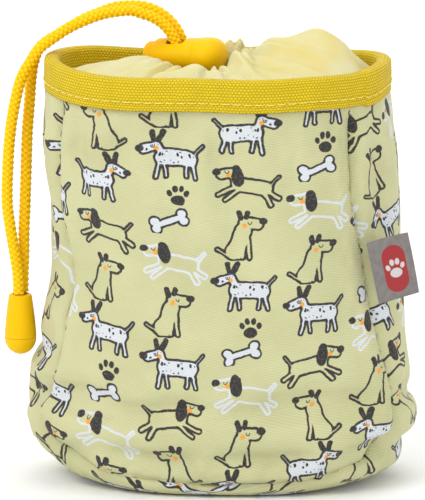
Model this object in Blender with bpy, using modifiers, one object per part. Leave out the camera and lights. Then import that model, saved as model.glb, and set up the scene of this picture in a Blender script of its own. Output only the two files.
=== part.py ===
"""Treat pouch: a soft printed pouch with a bound rim, a gathered inner collar closed by a drawcord with a
sprung cord lock, a woven side label and a sprung belt clip on its back.

Metres, +Z up. The origin is the centre of the pouch's base. The front faces -Y, and +X is to the right.
"""

import math

import bmesh
import bpy
import numpy as np
from mathutils import Matrix, Vector

MM = 0.001
GAP = 0.3 * MM  # between pieces that touch

# Pouch body. Stations are (height, size) in millimetres, joined by a smooth curve.
RIM_HEIGHT = 132 * MM
LEFT_HALF_WIDTH = ((0, 54.5), (16, 57.0), (30, 56.4), (45, 54.2), (75, 50.2), (102, 51.0), (132, 52.4))
RIGHT_HALF_WIDTH = ((0, 57.5), (20, 60.6), (48, 58.8), (82, 58.2), (106, 55.0), (132, 51.8))
FRONT_DEPTH = ((0, 36.0), (26, 37.5), (66, 35.5), (106, 37.5), (132, 39.0))
BACK_DEPTH = ((0, 24.0), (66, 24.0), (132, 24.0))
FRONT_ROUNDNESS = 2.4  # exponents of the superellipse that a level section follows
BACK_ROUNDNESS = 3.6
BASE_RADIUS = 6 * MM
FRONT_DROOP = 1.0 * MM  # how far the rim sags between its corners
BACK_DROOP = 2.0 * MM
DROOP_REACH = 45 * MM
PANEL_THICKNESS = 0.6 * MM
LINING_THICKNESS = 0.4 * MM
COLLAR_THICKNESS = 0.4 * MM

# Panel seams, as outlines seen from the front: (x, height) in millimetres.
FRONT_SEAM = (
    (0, 3.2), (30, 4.0), (48, 8.0), (55, 17), (55.5, 28), (51.5, 49), (46.8, 75), (43, 95), (42.5, 145),
    (-46, 145), (-46.3, 105), (-46.8, 86), (-44.6, 68), (-46.6, 46), (-51.5, 33), (-53.5, 23), (-49.5, 12),
    (-34, 5.4),
)
BACK_SEAM = (
    (0, 3.6), (36, 4.4), (49, 9.0), (53, 20), (51.5, 62), (46.5, 100), (46, 145),
    (-46, 145), (-45.5, 100), (-46, 62), (-50.5, 20), (-47, 9.0), (-34, 4.4),
)

# Webbing binding over the rim
BINDING_HEIGHT = 10 * MM
BINDING_INNER_HEIGHT = 8 * MM
BINDING_THICKNESS = 0.9 * MM
STITCH_HEIGHT = 7.6 * MM  # below the rim's top
THREAD_RADIUS = 0.22 * MM

# Gathered collar and its hem
NECK_CENTRE = Vector((-4.5, 4.5, 114.5)) * MM
NECK_RADIUS = 8 * MM
HEM_RADIUS = 2.8 * MM
HEM_BORE_RADIUS = 2.25 * MM
HEM_MOUTH_ANGLE = 145  # degrees about the neck, where the cord leaves the hem
HEM_MOUTH_HALF_WIDTH = 55
PUFF_HEIGHT = 134 * MM
PUFF_RISE = 4 * MM  # how much higher the collar stands at the right
PUFF_PROFILE = (  # (way from the rim to the hem, share of the puff's height)
    (0.12, 0.72), (0.3, 1.0), (0.52, 0.86), (0.72, 0.42), (0.88, -0.3),
)
COLLAR_END_RADIUS = 11.8 * MM
BED_HEIGHT = 122.8 * MM
BED_HALF_WIDTH = 8 * MM
BED_SLOPE = 1.5

# Drawcord: two legs side by side, which leave the hem, pass through the lock, and arch over the rim
CORD_RADIUS = 1.8 * MM
ARCH_CENTRE = Vector((-26.3, 9, 129.5)) * MM
ARCH_RADIUS = 15.5 * MM
ARCH_FROM, ARCH_TO = -24, 78  # degrees
LEG_POINTS = 46
FRONT_LEG_SHIFT = (-1.7 * MM, -1.35 * MM)  # outwards from the arch's radius, and along Y
REAR_LEG_SHIFT = (-0.15 * MM, 2.15 * MM)
FRONT_LEG_START = ((-12.02, 1.76, 114.5), (-12.4, 2.8, 114.5), (-13.3, 4.9, 115.7), (-13.75, 6.7, 118.8))
REAR_LEG_START = ((-4.5, 12.5, 114.5), (-5.6, 12.5, 114.5), (-8.8, 12.4, 115.3), (-11.4, 11.7, 118.4))
FRONT_LEG_END = (
    (-26.8, 7.4, 144.0), (-31.9, 6.9, 143.7), (-36.6, 6.0, 142.8), (-41.5, 4.5, 141.1), (-46.3, 2.8, 139.0),
    (-49.6, 1.0, 137.0), (-52.5, -0.4, 135.1), (-55.1, -1.5, 133.0), (-57.4, -2.4, 129.4),
    (-60.1, -3.0, 124.6), (-62.1, -3.5, 117.2), (-63.7, -4.0, 107.2), (-64.5, -4.7, 95.3),
    (-64.6, -5.1, 84.7), (-63.6, -5.5, 77.1), (-62.3, -6.0, 69.5), (-61.4, -6.3, 63.7), (-61.1, -6.35, 57.0),
)
REAR_LEG_END = (
    (-27.1, 11.2, 144.8), (-32.2, 10.8, 144.4), (-36.9, 9.8, 142.9), (-41.8, 8.4, 141.0), (-46.6, 6.9, 138.4),
    (-49.9, 5.5, 136.4), (-52.8, 4.5, 134.8), (-55.5, 3.9, 132.3), (-57.0, 3.4, 128.4), (-57.8, 2.9, 123.5),
    (-58.3, 2.4, 116.0), (-59.0, 1.6, 106.0), (-59.3, 0.4, 94.3), (-59.6, -0.6, 83.7), (-59.9, -1.5, 75.0),
    (-59.9, -2.2, 68.9), (-60.1, -2.6, 62.6), (-60.2, -2.7, 57.0),
)

# Cord lock, in its own frame: its length is along Z, the plunger's head is at the bottom
LOCK_CENTRE = ARCH_CENTRE + Vector((ARCH_RADIUS, 0, 0))
LOCK_RISE = 3.2  # degrees round the arch, from the centre above
LOCK_YAW = -25  # degrees
LOCK_FLATTENING = 1.36  # width over height
LOCK_TIP = 13.9 * MM
LOCK_SHOULDER = 9.2 * MM
LOCK_MOUTH = -8.9 * MM
LOCK_RADIUS = 5.3 * MM
LOCK_MOUTH_RADIUS = 4.5 * MM
LOCK_BORE_RADIUS = 3.85 * MM
LOCK_BORE_END = 10.4 * MM
PLUNGER_RADIUS = 3.5 * MM
PLUNGER_HEAD = -12.5 * MM
PLUNGER_END = 4.4 * MM
PLUNGER_TRAVEL = 3 * MM
SLOT_BACK, SLOT_FRONT = -4.8 * MM, 2.3 * MM  # the cord's slot, along the lock
SLOT_HALF_WIDTH = 4.2 * MM
LOCK_SPRING_RADIUS = 2.6 * MM
LOCK_SPRING_WIRE = 0.25 * MM
LOCK_SPRING_TURNS = 3

# Cord end
BELL_CENTRE = Vector((-60.8, -4.5, 0)) * MM
BELL_TOP = 56.6 * MM
BELL_TOP_RADIUS = 3.6 * MM
BELL_BOTTOM = 43 * MM
BELL_RADIUS = 4.9 * MM
BELL_WALL = 0.9 * MM
BELL_MOUTH_RADIUS = 2.4 * MM
CAP_BOTTOM = 37.5 * MM
KNOT_RADIUS = 2.6 * MM
KNOT_HEIGHT = 48.4 * MM

# Side label
LABEL_CORNER = Vector((47.6, -29.6, 79.4)) * MM  # its top corner on the seam
LABEL_WIDTH = 13.4 * MM
LABEL_HEIGHT = 19.6 * MM
LABEL_THICKNESS = 0.9 * MM
LABEL_TILT = 12  # degrees, its outer edge raised
LABEL_TURN = 20  # degrees, its outer edge towards the back

# Belt clip
CLIP_HEIGHT = 96 * MM  # its middle
PATCH_SIZE = Vector((32, 1.4, 44)) * MM
PLATE_SIZE = Vector((24, 2.0, 36)) * MM
HINGE_RISE = 7 * MM  # above the clip's middle
HINGE_STANDOFF = 5.6 * MM  # from the plate's face
EAR_INNER, EAR_OUTER = 9.2 * MM, 11.6 * MM
EAR_RADIUS = 3.2 * MM
PIN_RADIUS = 1.2 * MM
PIN_CLEARANCE = 0.3 * MM
LEVER_HALF_WIDTH = 6.4 * MM
CLIP_SPRING_RADIUS = 2.3 * MM
CLIP_SPRING_WIRE = 0.3 * MM
RIVET_RADIUS = 1.6 * MM
RIVET_SPACING = 18.4 * MM

ROUND = 48  # points round the pouch
RING_HEIGHTS = (20, 34, 50, 68, 88, 106, 120)  # millimetres, between the rounded base and the rim


def clear_scene():
    for obj in list(bpy.data.objects):
        bpy.data.objects.remove(obj, do_unlink=True)


def new_collection(name, hidden=False):
    collection = bpy.data.collections.new(name)
    collection.hide_render = hidden
    bpy.context.scene.collection.children.link(collection)
    return collection


def material(name, colour, roughness, metallic=0.0):
    made = bpy.data.materials.get(name) or bpy.data.materials.new(name)
    made.use_nodes = True
    shader = made.node_tree.nodes["Principled BSDF"]
    shader.inputs["Base Color"].default_value = (*colour, 1)
    shader.inputs["Roughness"].default_value = roughness
    shader.inputs["Metallic"].default_value = metallic
    made.diffuse_color = (*colour, 1)
    return made


# Mesh helpers


def add_object(name, data, finish=None, collection=None):
    obj = bpy.data.objects.new(name, data)
    (collection or PARTS).objects.link(obj)
    if finish:
        data.materials.append(finish)
    return obj


def mesh_object(name, points, faces, finish=None, collection=None):
    mesh = bpy.data.meshes.new(name)
    mesh.from_pydata([tuple(p) for p in points], [], faces)
    mesh.shade_smooth()
    mesh.set_sharp_from_angle(angle=math.radians(35))
    return add_object(name, mesh, finish, collection)


def strip_faces(rings, around, closed_around=True, closed_along=False):
    """Quads between successive rings of points, facing out where the rings run anticlockwise upwards."""
    faces = []
    for ring in range(rings if closed_along else rings - 1):
        above = (ring + 1) % rings
        for k in range(around if closed_around else around - 1):
            after = (k + 1) % around
            corners = ((ring, k), (ring, after), (above, after), (above, k))
            faces.append(tuple(row * around + column for row, column in corners))
    return faces


def smooth_value(stations, at):
    """The value of a cubic Hermite curve through (place, value) stations."""
    places, values = np.array(stations, float).T
    slopes = np.gradient(values, places)
    at = float(np.clip(at, places[0], places[-1]))
    k = int(np.clip(np.searchsorted(places, at) - 1, 0, len(places) - 2))
    span = places[k + 1] - places[k]
    t = (at - places[k]) / span
    return (
        (2 * t**3 - 3 * t**2 + 1) * values[k]
        + (t**3 - 2 * t**2 + t) * span * slopes[k]
        + (3 * t**2 - 2 * t**3) * values[k + 1]
        + (t**3 - t**2) * span * slopes[k + 1]
    )


def smooth_route(points, count):
    """count points, evenly spaced along a centripetal Catmull-Rom curve through the given ones."""
    points = [Vector(p) for p in points]
    ends = [2 * points[0] - points[1], *points, 2 * points[-1] - points[-2]]
    fine = []
    for a, b, c, d in zip(ends, ends[1:], ends[2:], ends[3:], strict=False):
        knots = np.cumsum([0, *((q - p).length ** 0.5 for p, q in ((a, b), (b, c), (c, d)))])
        for t in np.linspace(knots[1], knots[2], 12, endpoint=False):
            u, v, w = (
                (p * (knots[k + 1] - t) + q * (t - knots[k])) / (knots[k + 1] - knots[k])
                for k, (p, q) in enumerate(((a, b), (b, c), (c, d)))
            )
            early = (u * (knots[2] - t) + v * (t - knots[0])) / (knots[2] - knots[0])
            late = (v * (knots[3] - t) + w * (t - knots[1])) / (knots[3] - knots[1])
            fine.append((early * (knots[2] - t) + late * (t - knots[1])) / (knots[2] - knots[1]))
    return evenly(np.array([*fine, points[-1]]), count)


def evenly(line, count):
    """count points evenly spaced along a polyline."""
    along = np.concatenate([[0], np.cumsum(np.linalg.norm(np.diff(line, axis=0), axis=1))])
    places = np.linspace(0, along[-1], count)
    return np.stack([np.interp(places, along, line[:, k]) for k in range(line.shape[1])], axis=1)


def cord(name, points, radius, finish, sides_resolution=2):
    """A tube along the points, with filled caps."""
    curve = bpy.data.curves.new(name, "CURVE")
    curve.dimensions = "3D"
    curve.bevel_depth = radius
    curve.bevel_resolution = sides_resolution
    curve.use_fill_caps = True
    spline = curve.splines.new("POLY")
    spline.points.add(len(points) - 1)
    for point, place in zip(spline.points, points, strict=True):
        point.co = (*place, 1)
        point.radius = 1
    return add_object(name, curve, finish)


def turned(name, profile, finish, steps=24, collection=None):
    """A solid turned about its own Z from (radius, height) points that run down its outer side."""
    mesh = bpy.data.meshes.new(name)
    mesh.from_pydata([(r, 0, z) for r, z in profile], [(k, k + 1) for k in range(len(profile) - 1)], [])
    obj = add_object(name, mesh, finish, collection)
    screw = obj.modifiers.new("Screw", "SCREW")
    screw.steps = screw.render_steps = steps
    screw.use_merge_vertices = True
    screw.merge_threshold = 0.00002
    screw.use_smooth_shade = True
    return obj


def box(name, low, high, finish=None, bevel=0.0, collection=None):
    """A box between two corners, with rounded edges if bevel is given."""
    low, high = Vector(low), Vector(high)
    bpy.ops.mesh.primitive_cube_add(size=1, location=(low + high) / 2)
    obj = bpy.context.object
    obj.name = obj.data.name = name
    for owner in list(obj.users_collection):
        owner.objects.unlink(obj)
    (collection or PARTS).objects.link(obj)
    obj.data.transform(Matrix.Diagonal((*(high - low), 1)))
    if finish:
        obj.data.materials.append(finish)
    if bevel:
        edge = obj.modifiers.new("Bevel", "BEVEL")
        edge.width = bevel
        edge.segments = 2
    return obj


def prism(name, outline, low, high, finish=None, collection=None):
    """A closed outline of (across, up) points, swept between two distances along its normal, local +Z."""
    area = sum(a[0] * b[1] - b[0] * a[1] for a, b in zip(outline, [*outline[1:], outline[0]], strict=True))
    ordered = list(outline) if area > 0 else list(outline)[::-1]
    mesh = bpy.data.meshes.new(name)
    shape = bmesh.new()
    face = shape.faces.new([shape.verts.new((x, y, low)) for x, y in ordered])
    top = bmesh.ops.extrude_face_region(shape, geom=[face])["geom"]
    moved = [v for v in top if isinstance(v, bmesh.types.BMVert)]
    bmesh.ops.translate(shape, verts=moved, vec=(0, 0, high - low))
    bmesh.ops.recalc_face_normals(shape, faces=shape.faces)
    shape.to_mesh(mesh)
    shape.free()
    return add_object(name, mesh, finish, collection)


def cut(obj, cutter, operation="DIFFERENCE"):
    boolean = obj.modifiers.new(f"{operation.title()} {cutter.name}", "BOOLEAN")
    boolean.operation = operation
    boolean.solver = "EXACT"
    boolean.object = cutter
    cutter.hide_render = True
    cutter.display_type = "WIRE"


def thicken(obj, thickness, offset=-1):
    solidify = obj.modifiers.new("Solidify", "SOLIDIFY")
    solidify.thickness = thickness
    solidify.offset = offset


def empty(name, place, parent=None, rotation=(0, 0, 0)):
    made = add_object(name, None)
    made.location = place
    made.rotation_euler = rotation
    keep_in_place(made, parent)
    return made


def keep_in_place(obj, parent):
    """Parents obj without moving it."""
    if parent:
        bpy.context.view_layer.update()
        obj.parent = parent
        obj.matrix_parent_inverse = parent.matrix_world.inverted()


# The pouch's outer surface


def outline(height, inset=0.0):
    """Points round the pouch at a height, inset from its outer surface, anticlockwise from +X, as (x, y)."""
    level = height / MM
    stations = (RIGHT_HALF_WIDTH, LEFT_HALF_WIDTH, FRONT_DEPTH, BACK_DEPTH)
    right, left, front, back = (smooth_value(s, level) * MM for s in stations)
    turn = np.linspace(0, 2 * math.pi, 720, endpoint=False)
    cosine, sine = np.cos(turn), np.sin(turn)
    power = 2 / np.where(sine < 0, FRONT_ROUNDNESS, BACK_ROUNDNESS)
    x = np.sign(cosine) * np.abs(cosine) ** power * np.where(cosine > 0, right, left)
    y = np.sign(sine) * np.abs(sine) ** power * np.where(sine < 0, front, back)
    line = evenly(np.stack([np.append(x, x[0]), np.append(y, y[0])], axis=1), 361)[:-1]
    along = np.roll(line, -1, axis=0) - np.roll(line, 1, axis=0)
    inward = np.stack([-along[:, 1], along[:, 0]], axis=1)
    line = line + inset * inward / np.linalg.norm(inward, axis=1)[:, None]
    return evenly(np.vstack([line, line[:1]]), ROUND + 1)[:-1]


def droop(points, height):
    """How far the rim's sag lowers each (x, y) point at this height."""
    reach = np.clip((height - RIM_HEIGHT + DROOP_REACH) / DROOP_REACH, 0, 1)
    y = points[:, 1]
    front, back = y.min(), y.max()
    return reach**2 * np.where(y < 0, FRONT_DROOP * y / front, BACK_DROOP * y / back)


def ring(height, inset=0.0):
    flat = outline(height, inset)
    return np.column_stack([flat, height - droop(flat, height)])


def pouch_shell(name, inset, base, top, thickness, finish):
    """An open-topped bag that follows the pouch's outer surface at an inset, with a rounded base."""
    radius = BASE_RADIUS - inset
    rings = []
    for step in range(4):
        angle = math.radians(90 * step / 3)
        flat = outline(base, inset + radius * (1 - math.sin(angle)))
        rings.append(np.column_stack([flat, np.full(ROUND, base + radius * (1 - math.cos(angle)))]))
    rings += [ring(h * MM, inset) for h in RING_HEIGHTS] + [ring(top, inset)]
    faces = strip_faces(len(rings), ROUND) + [tuple(range(ROUND))[::-1]]
    obj = mesh_object(name, np.vstack(rings), faces, finish)
    thicken(obj, thickness)
    return obj


def seam_outline(stations, spread=0.0):
    """A seam's outline in metres, moved out by spread."""
    line = np.array(stations, float) * MM
    along = np.roll(line, -1, axis=0) - np.roll(line, 1, axis=0)
    outward = np.stack([along[:, 1], -along[:, 0]], axis=1)
    return line + spread * outward / np.linalg.norm(outward, axis=1)[:, None]


def seam_cutter(name, stations, spread, near, far):
    """A prism of a seam's outline between two distances in front of (positive) or behind the middle."""
    cutter = prism(name, [tuple(p) for p in seam_outline(stations, spread)], near, far, collection=CUTTERS)
    cutter.rotation_euler = (math.radians(90), 0, 0)
    return cutter


def make_panels():
    print_fabric = material("printed_polyester", (0.87, 0.85, 0.56), 0.8)
    top = RIM_HEIGHT - BINDING_THICKNESS - GAP
    cutters = {
        "front": (FRONT_SEAM, 2 * MM, 80 * MM),
        "back": (BACK_SEAM, -80 * MM, -2 * MM),
    }
    for side, (stations, near, far) in cutters.items():
        panel = pouch_shell(f"{side}_panel", 0, 0, top, PANEL_THICKNESS, print_fabric)
        cut(panel, seam_cutter(f"{side}_panel_outline", stations, 0, near, far), "INTERSECT")
    gusset = pouch_shell("gusset_strip", 0, 0, top, PANEL_THICKNESS, print_fabric)
    for side, (stations, near, far) in cutters.items():
        cut(gusset, seam_cutter(f"{side}_seam_gap", stations, GAP, near, far))
    inset = PANEL_THICKNESS + GAP
    pouch_shell(
        "lining", inset, inset, top - 0.4 * MM, LINING_THICKNESS,
        material("coated_lining", (0.86, 0.85, 0.62), 0.6),
    )


# Rim


def rim_section():
    """The binding's folded section, as (offset out of the panel, distance below the rim's top) points."""
    outer = BINDING_THICKNESS + GAP
    inner = -(PANEL_THICKNESS + LINING_THICKNESS + COLLAR_THICKNESS + 4 * GAP)
    crown = BINDING_THICKNESS * 0.5
    return (
        (outer, BINDING_HEIGHT), (outer, crown), (outer - crown, 0), (inner - BINDING_THICKNESS + crown, 0),
        (inner - BINDING_THICKNESS, crown), (inner - BINDING_THICKNESS, BINDING_INNER_HEIGHT),
        (inner, BINDING_INNER_HEIGHT), (inner, BINDING_THICKNESS),
        (GAP, BINDING_THICKNESS), (GAP, BINDING_HEIGHT),
    )


def rim_loop(name, section, finish):
    """A closed section swept round the rim, drawn as (offset out of the panel, distance below the top)."""
    rings = []
    for offset, below in section:
        flat = outline(RIM_HEIGHT - below, -offset)
        rings.append(np.column_stack([flat, RIM_HEIGHT - below - droop(flat, RIM_HEIGHT)]))
    return mesh_object(name, np.vstack(rings), strip_faces(len(rings), ROUND, closed_along=True), finish)


def make_rim():
    rim_loop("rim_binding", rim_section(), material("rim_webbing", (0.92, 0.78, 0.06), 0.75))
    middle = BINDING_THICKNESS + 2 * GAP + THREAD_RADIUS
    thread = [
        (middle + THREAD_RADIUS * math.cos(angle), STITCH_HEIGHT - THREAD_RADIUS * math.sin(angle))
        for angle in np.radians(range(0, 360, 72))
    ]
    rim_loop("rim_stitching", thread, material("thread", (0.95, 0.9, 0.55), 0.7))


# Collar


def collar_rings():
    """Rings of the collar, from inside the binding, out under it, up into its puff and down to the hem."""
    inset = PANEL_THICKNESS + LINING_THICKNESS + 2 * GAP + COLLAR_THICKNESS / 2
    leg_inset = inset + COLLAR_THICKNESS / 2 + 2 * GAP + BINDING_THICKNESS
    rings = [
        ring(RIM_HEIGHT - 4 * MM, inset),
        ring(RIM_HEIGHT - BINDING_INNER_HEIGHT - 0.6 * MM, inset),
        ring(RIM_HEIGHT - BINDING_INNER_HEIGHT - 1.4 * MM, leg_inset),
        ring(RIM_HEIGHT - BINDING_INNER_HEIGHT - 0.4 * MM, leg_inset + 1.6 * MM),
    ]
    start = rings[-1]
    bearing = np.arctan2(start[:, 1] - NECK_CENTRE.y, start[:, 0] - NECK_CENTRE.x)
    neck = np.column_stack([
        NECK_CENTRE.x + COLLAR_END_RADIUS * np.cos(bearing),
        NECK_CENTRE.y + COLLAR_END_RADIUS * np.sin(bearing),
        np.full(ROUND, NECK_CENTRE.z),
    ])
    peak = PUFF_HEIGHT + PUFF_RISE * np.maximum(np.cos(bearing), 0) ** 2
    for share, lift in PUFF_PROFILE:
        level = start + (neck - start) * share
        level[:, 2] = np.minimum(start[:, 2] + (peak - start[:, 2]) * lift, lock_bed(level))
        rings.append(level)
    lip = neck + np.array([0, 0, HEM_RADIUS + GAP])
    return [*rings, lip, neck]


def lock_bed(points):
    """The most height that the collar has at each point, so that it dips under the lock that lies on it."""
    axis = Vector((math.cos(math.radians(LOCK_YAW)), math.sin(math.radians(LOCK_YAW))))
    from_lock = points[:, :2] - np.array(LOCK_CENTRE.xy)
    along = np.clip(from_lock @ np.array(axis), PLUNGER_HEAD, LOCK_TIP)
    away = np.linalg.norm(from_lock - along[:, None] * np.array(axis), axis=1)
    return BED_HEIGHT + BED_SLOPE * np.maximum(away - BED_HALF_WIDTH, 0)


def hem_tube(name, radius, bore, finish):
    """A tube along the neck's arc, open at both ends."""
    angles = np.radians(np.linspace(
        HEM_MOUTH_ANGLE + HEM_MOUTH_HALF_WIDTH, HEM_MOUTH_ANGLE + 360 - HEM_MOUTH_HALF_WIDTH, 20
    ))
    sides = np.radians(np.arange(0, 360, 45))
    points = [
        NECK_CENTRE + Vector((
            (NECK_RADIUS + radius * math.cos(side)) * math.cos(angle),
            (NECK_RADIUS + radius * math.cos(side)) * math.sin(angle),
            radius * math.sin(side),
        ))
        for angle in angles
        for side in sides
    ]
    faces = [face[::-1] for face in strip_faces(len(angles), len(sides))]
    obj = mesh_object(name, points, faces, finish)
    thicken(obj, radius - bore)
    return obj


def make_collar():
    sheer = material("sheer_polyester", (0.93, 0.9, 0.62), 0.6)
    rings = collar_rings()
    collar = mesh_object("closure_collar", np.vstack(rings), strip_faces(len(rings), ROUND), sheer)
    thicken(collar, COLLAR_THICKNESS, offset=0)
    hem_tube("collar_hem", HEM_RADIUS, HEM_BORE_RADIUS, sheer)


# Drawcord


def leg_route(start, end, shift):
    """A leg's points: out of the hem, round the arch through the lock, over the rim and down to the bell."""
    radius = ARCH_RADIUS + shift[0]
    angles = np.radians(np.linspace(ARCH_FROM, ARCH_TO, 9))
    arch = [ARCH_CENTRE + Vector((radius * math.cos(a), shift[1], radius * math.sin(a))) for a in angles]
    return [*(Vector(p) * MM for p in start), *arch, *(Vector(p) * MM for p in end)]


def make_cord():
    braid = material("braided_cord", (1.0, 0.62, 0.02), 0.7)
    legs = (
        ("front", FRONT_LEG_START, FRONT_LEG_END, FRONT_LEG_SHIFT),
        ("rear", REAR_LEG_START, REAR_LEG_END, REAR_LEG_SHIFT),
    )
    for name, start, end, shift in legs:
        route = smooth_route(leg_route(start, end, shift), LEG_POINTS)
        cord(f"cord_leg_{name}", route, CORD_RADIUS, braid)
    clear = math.degrees(4 * GAP / NECK_RADIUS)
    first = HEM_MOUTH_ANGLE + HEM_MOUTH_HALF_WIDTH + clear
    last = HEM_MOUTH_ANGLE + 360 - HEM_MOUTH_HALF_WIDTH - clear
    inside = [
        NECK_CENTRE + Vector((NECK_RADIUS * math.cos(a), NECK_RADIUS * math.sin(a), 0))
        for a in np.radians(np.linspace(first, last, 16))
    ]
    cord("drawcord_hem_loop", inside, CORD_RADIUS, braid)


def make_lock():
    plastic = material("cord_lock_plastic", (1.0, 0.6, 0.02), 0.35)
    button = material("cord_lock_button", (1.0, 0.56, 0.02), 0.35)
    dome = [
        (LOCK_RADIUS * math.sin(a), LOCK_SHOULDER + (LOCK_TIP - LOCK_SHOULDER) * math.cos(a))
        for a in np.radians((0, 18, 36, 54, 72, 90))
    ]
    barrel = turned(
        "lock_barrel",
        [*dome, (LOCK_MOUTH_RADIUS, LOCK_MOUTH), (LOCK_BORE_RADIUS, LOCK_MOUTH),
         (LOCK_BORE_RADIUS, LOCK_BORE_END), (0, LOCK_BORE_END)],
        plastic,
    )
    nose = 0.7 * MM
    plunger = turned(
        "lock_plunger",
        [(0, PLUNGER_END), (PLUNGER_RADIUS, PLUNGER_END), (PLUNGER_RADIUS, PLUNGER_HEAD + nose),
         (PLUNGER_RADIUS - nose, PLUNGER_HEAD), (0, PLUNGER_HEAD - 0.2 * MM)],
        button,
    )
    tall = 2 * LOCK_RADIUS
    half_width = SLOT_HALF_WIDTH / LOCK_FLATTENING
    for owner, back in ((barrel, SLOT_BACK), (plunger, SLOT_BACK - PLUNGER_TRAVEL)):
        slot = box(
            f"{owner.name}_slot", (-tall, -half_width, back), (tall, half_width, SLOT_FRONT),
            bevel=1.2 * MM, collection=CUTTERS,
        )
        cut(owner, slot)
    turns = np.linspace(0, 2 * math.pi * LOCK_SPRING_TURNS, LOCK_SPRING_TURNS * 12)
    lowest = PLUNGER_END + PLUNGER_TRAVEL + GAP + LOCK_SPRING_WIRE
    highest = LOCK_BORE_END - GAP - LOCK_SPRING_WIRE
    coil = [
        (LOCK_SPRING_RADIUS * math.cos(a), LOCK_SPRING_RADIUS * math.sin(a),
         lowest + (highest - lowest) * a / turns[-1])
        for a in turns
    ]
    steel = material("spring_steel", (0.6, 0.6, 0.62), 0.3, 1.0)
    spring = cord("lock_spring", coil, LOCK_SPRING_WIRE, steel, 1)
    travel_axis = empty("lock_travel_axis", ARCH_CENTRE)
    middle = empty("lock_middle", LOCK_CENTRE, travel_axis, (0, 0, math.radians(LOCK_YAW)))
    travel_axis.rotation_euler.y = math.radians(-LOCK_RISE)
    lay_down = Matrix.Rotation(math.radians(90), 4, "Y")
    for obj in (barrel, plunger, spring):
        flatten = LOCK_FLATTENING if obj is not spring else 1
        obj.parent = middle
        obj.matrix_local = lay_down @ Matrix.Diagonal((1, flatten, 1, 1))
    for owner in (barrel, plunger):
        CUTTERS.objects[f"{owner.name}_slot"].parent = owner


def make_cord_end():
    plastic = bpy.data.materials["cord_lock_plastic"]
    shoulder = BELL_TOP - 1.0 * MM
    bell = turned(
        "cord_end_bell",
        [(BELL_MOUTH_RADIUS, BELL_TOP), (BELL_TOP_RADIUS - 0.6 * MM, BELL_TOP), (BELL_TOP_RADIUS, shoulder),
         (BELL_RADIUS - 0.15 * MM, BELL_BOTTOM + 2 * MM), (BELL_RADIUS, BELL_BOTTOM),
         (BELL_RADIUS - BELL_WALL, BELL_BOTTOM), (BELL_TOP_RADIUS - BELL_WALL, shoulder - 0.6 * MM),
         (BELL_MOUTH_RADIUS, shoulder - 0.6 * MM), (BELL_MOUTH_RADIUS, BELL_TOP)],
        plastic, 20,
    )
    cap_top = BELL_BOTTOM - GAP
    plug, plug_top = BELL_RADIUS - BELL_WALL - 2 * GAP, BELL_BOTTOM + 2 * MM
    dome = [
        (BELL_RADIUS * math.cos(a), cap_top - 0.6 * MM - (cap_top - 0.6 * MM - CAP_BOTTOM) * math.sin(a))
        for a in np.radians((0, 22, 45, 68, 90))
    ]
    cap = turned(
        "cord_end_cap",
        [(0, plug_top), (plug, plug_top), (plug, cap_top), (BELL_RADIUS, cap_top), *dome],
        plastic, 20,
    )
    knot = turned(
        "cord_end_knot",
        [
            (KNOT_RADIUS * math.sin(a), KNOT_HEIGHT + 1.2 * KNOT_RADIUS * math.cos(a))
            for a in np.radians(range(0, 181, 30))
        ],
        bpy.data.materials["braided_cord"], 12,
    )
    for obj in (bell, cap, knot):
        obj.location = BELL_CENTRE


def make_label():
    label = box(
        "side_label", (0, -LABEL_THICKNESS, -LABEL_HEIGHT), (LABEL_WIDTH, 0, 0),
        material("woven_label", (0.42, 0.4, 0.38), 0.8), 0.3 * MM,
    )
    label.data.transform(Matrix.Translation(label.location))
    label.location = LABEL_CORNER
    label.rotation_euler = (0, math.radians(-LABEL_TILT), math.radians(LABEL_TURN))


# Belt clip


def make_clip():
    webbing = bpy.data.materials["rim_webbing"]
    plastic = material("clip_plastic", (0.05, 0.05, 0.055), 0.45)
    steel = material("clip_steel", (0.62, 0.62, 0.64), 0.3, 1.0)
    back = smooth_value(BACK_DEPTH, CLIP_HEIGHT / MM) * MM
    patch_face = back + GAP + PATCH_SIZE.y
    plate_face = patch_face + GAP + PLATE_SIZE.y
    box(
        "clip_webbing_patch", (-PATCH_SIZE.x / 2, back + GAP, CLIP_HEIGHT - PATCH_SIZE.z / 2),
        (PATCH_SIZE.x / 2, patch_face, CLIP_HEIGHT + PATCH_SIZE.z / 2), webbing, 0.5 * MM,
    )
    hinge = Vector((0, plate_face + HINGE_STANDOFF, CLIP_HEIGHT + HINGE_RISE))
    make_backplate(plastic, patch_face + GAP, plate_face, hinge)
    make_lever(plastic, plate_face, hinge)
    pin_end = EAR_OUTER + 0.6 * MM
    pin_profile = [(0, pin_end), (PIN_RADIUS, pin_end), (PIN_RADIUS, -pin_end), (0, -pin_end)]
    pin = turned("clip_hinge_pin", pin_profile, steel, 16)
    pin.rotation_euler = (0, math.radians(90), 0)
    pin.location = hinge
    make_clip_spring(steel, plate_face, hinge)
    for side, sign in (("left", -1), ("right", 1)):
        head = [
            (0, 0.9 * MM), (RIVET_RADIUS * 0.8, 0.7 * MM), (RIVET_RADIUS, 0.25 * MM),
            (RIVET_RADIUS, 0), (0, 0),
        ]
        rivet = turned(f"clip_rivet_{side}", head, steel, 16)
        rivet.rotation_euler = (math.radians(-90), 0, 0)
        rivet.location = (sign * RIVET_SPACING / 2, plate_face + GAP, CLIP_HEIGHT - PLATE_SIZE.z / 2 + 4 * MM)


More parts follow.
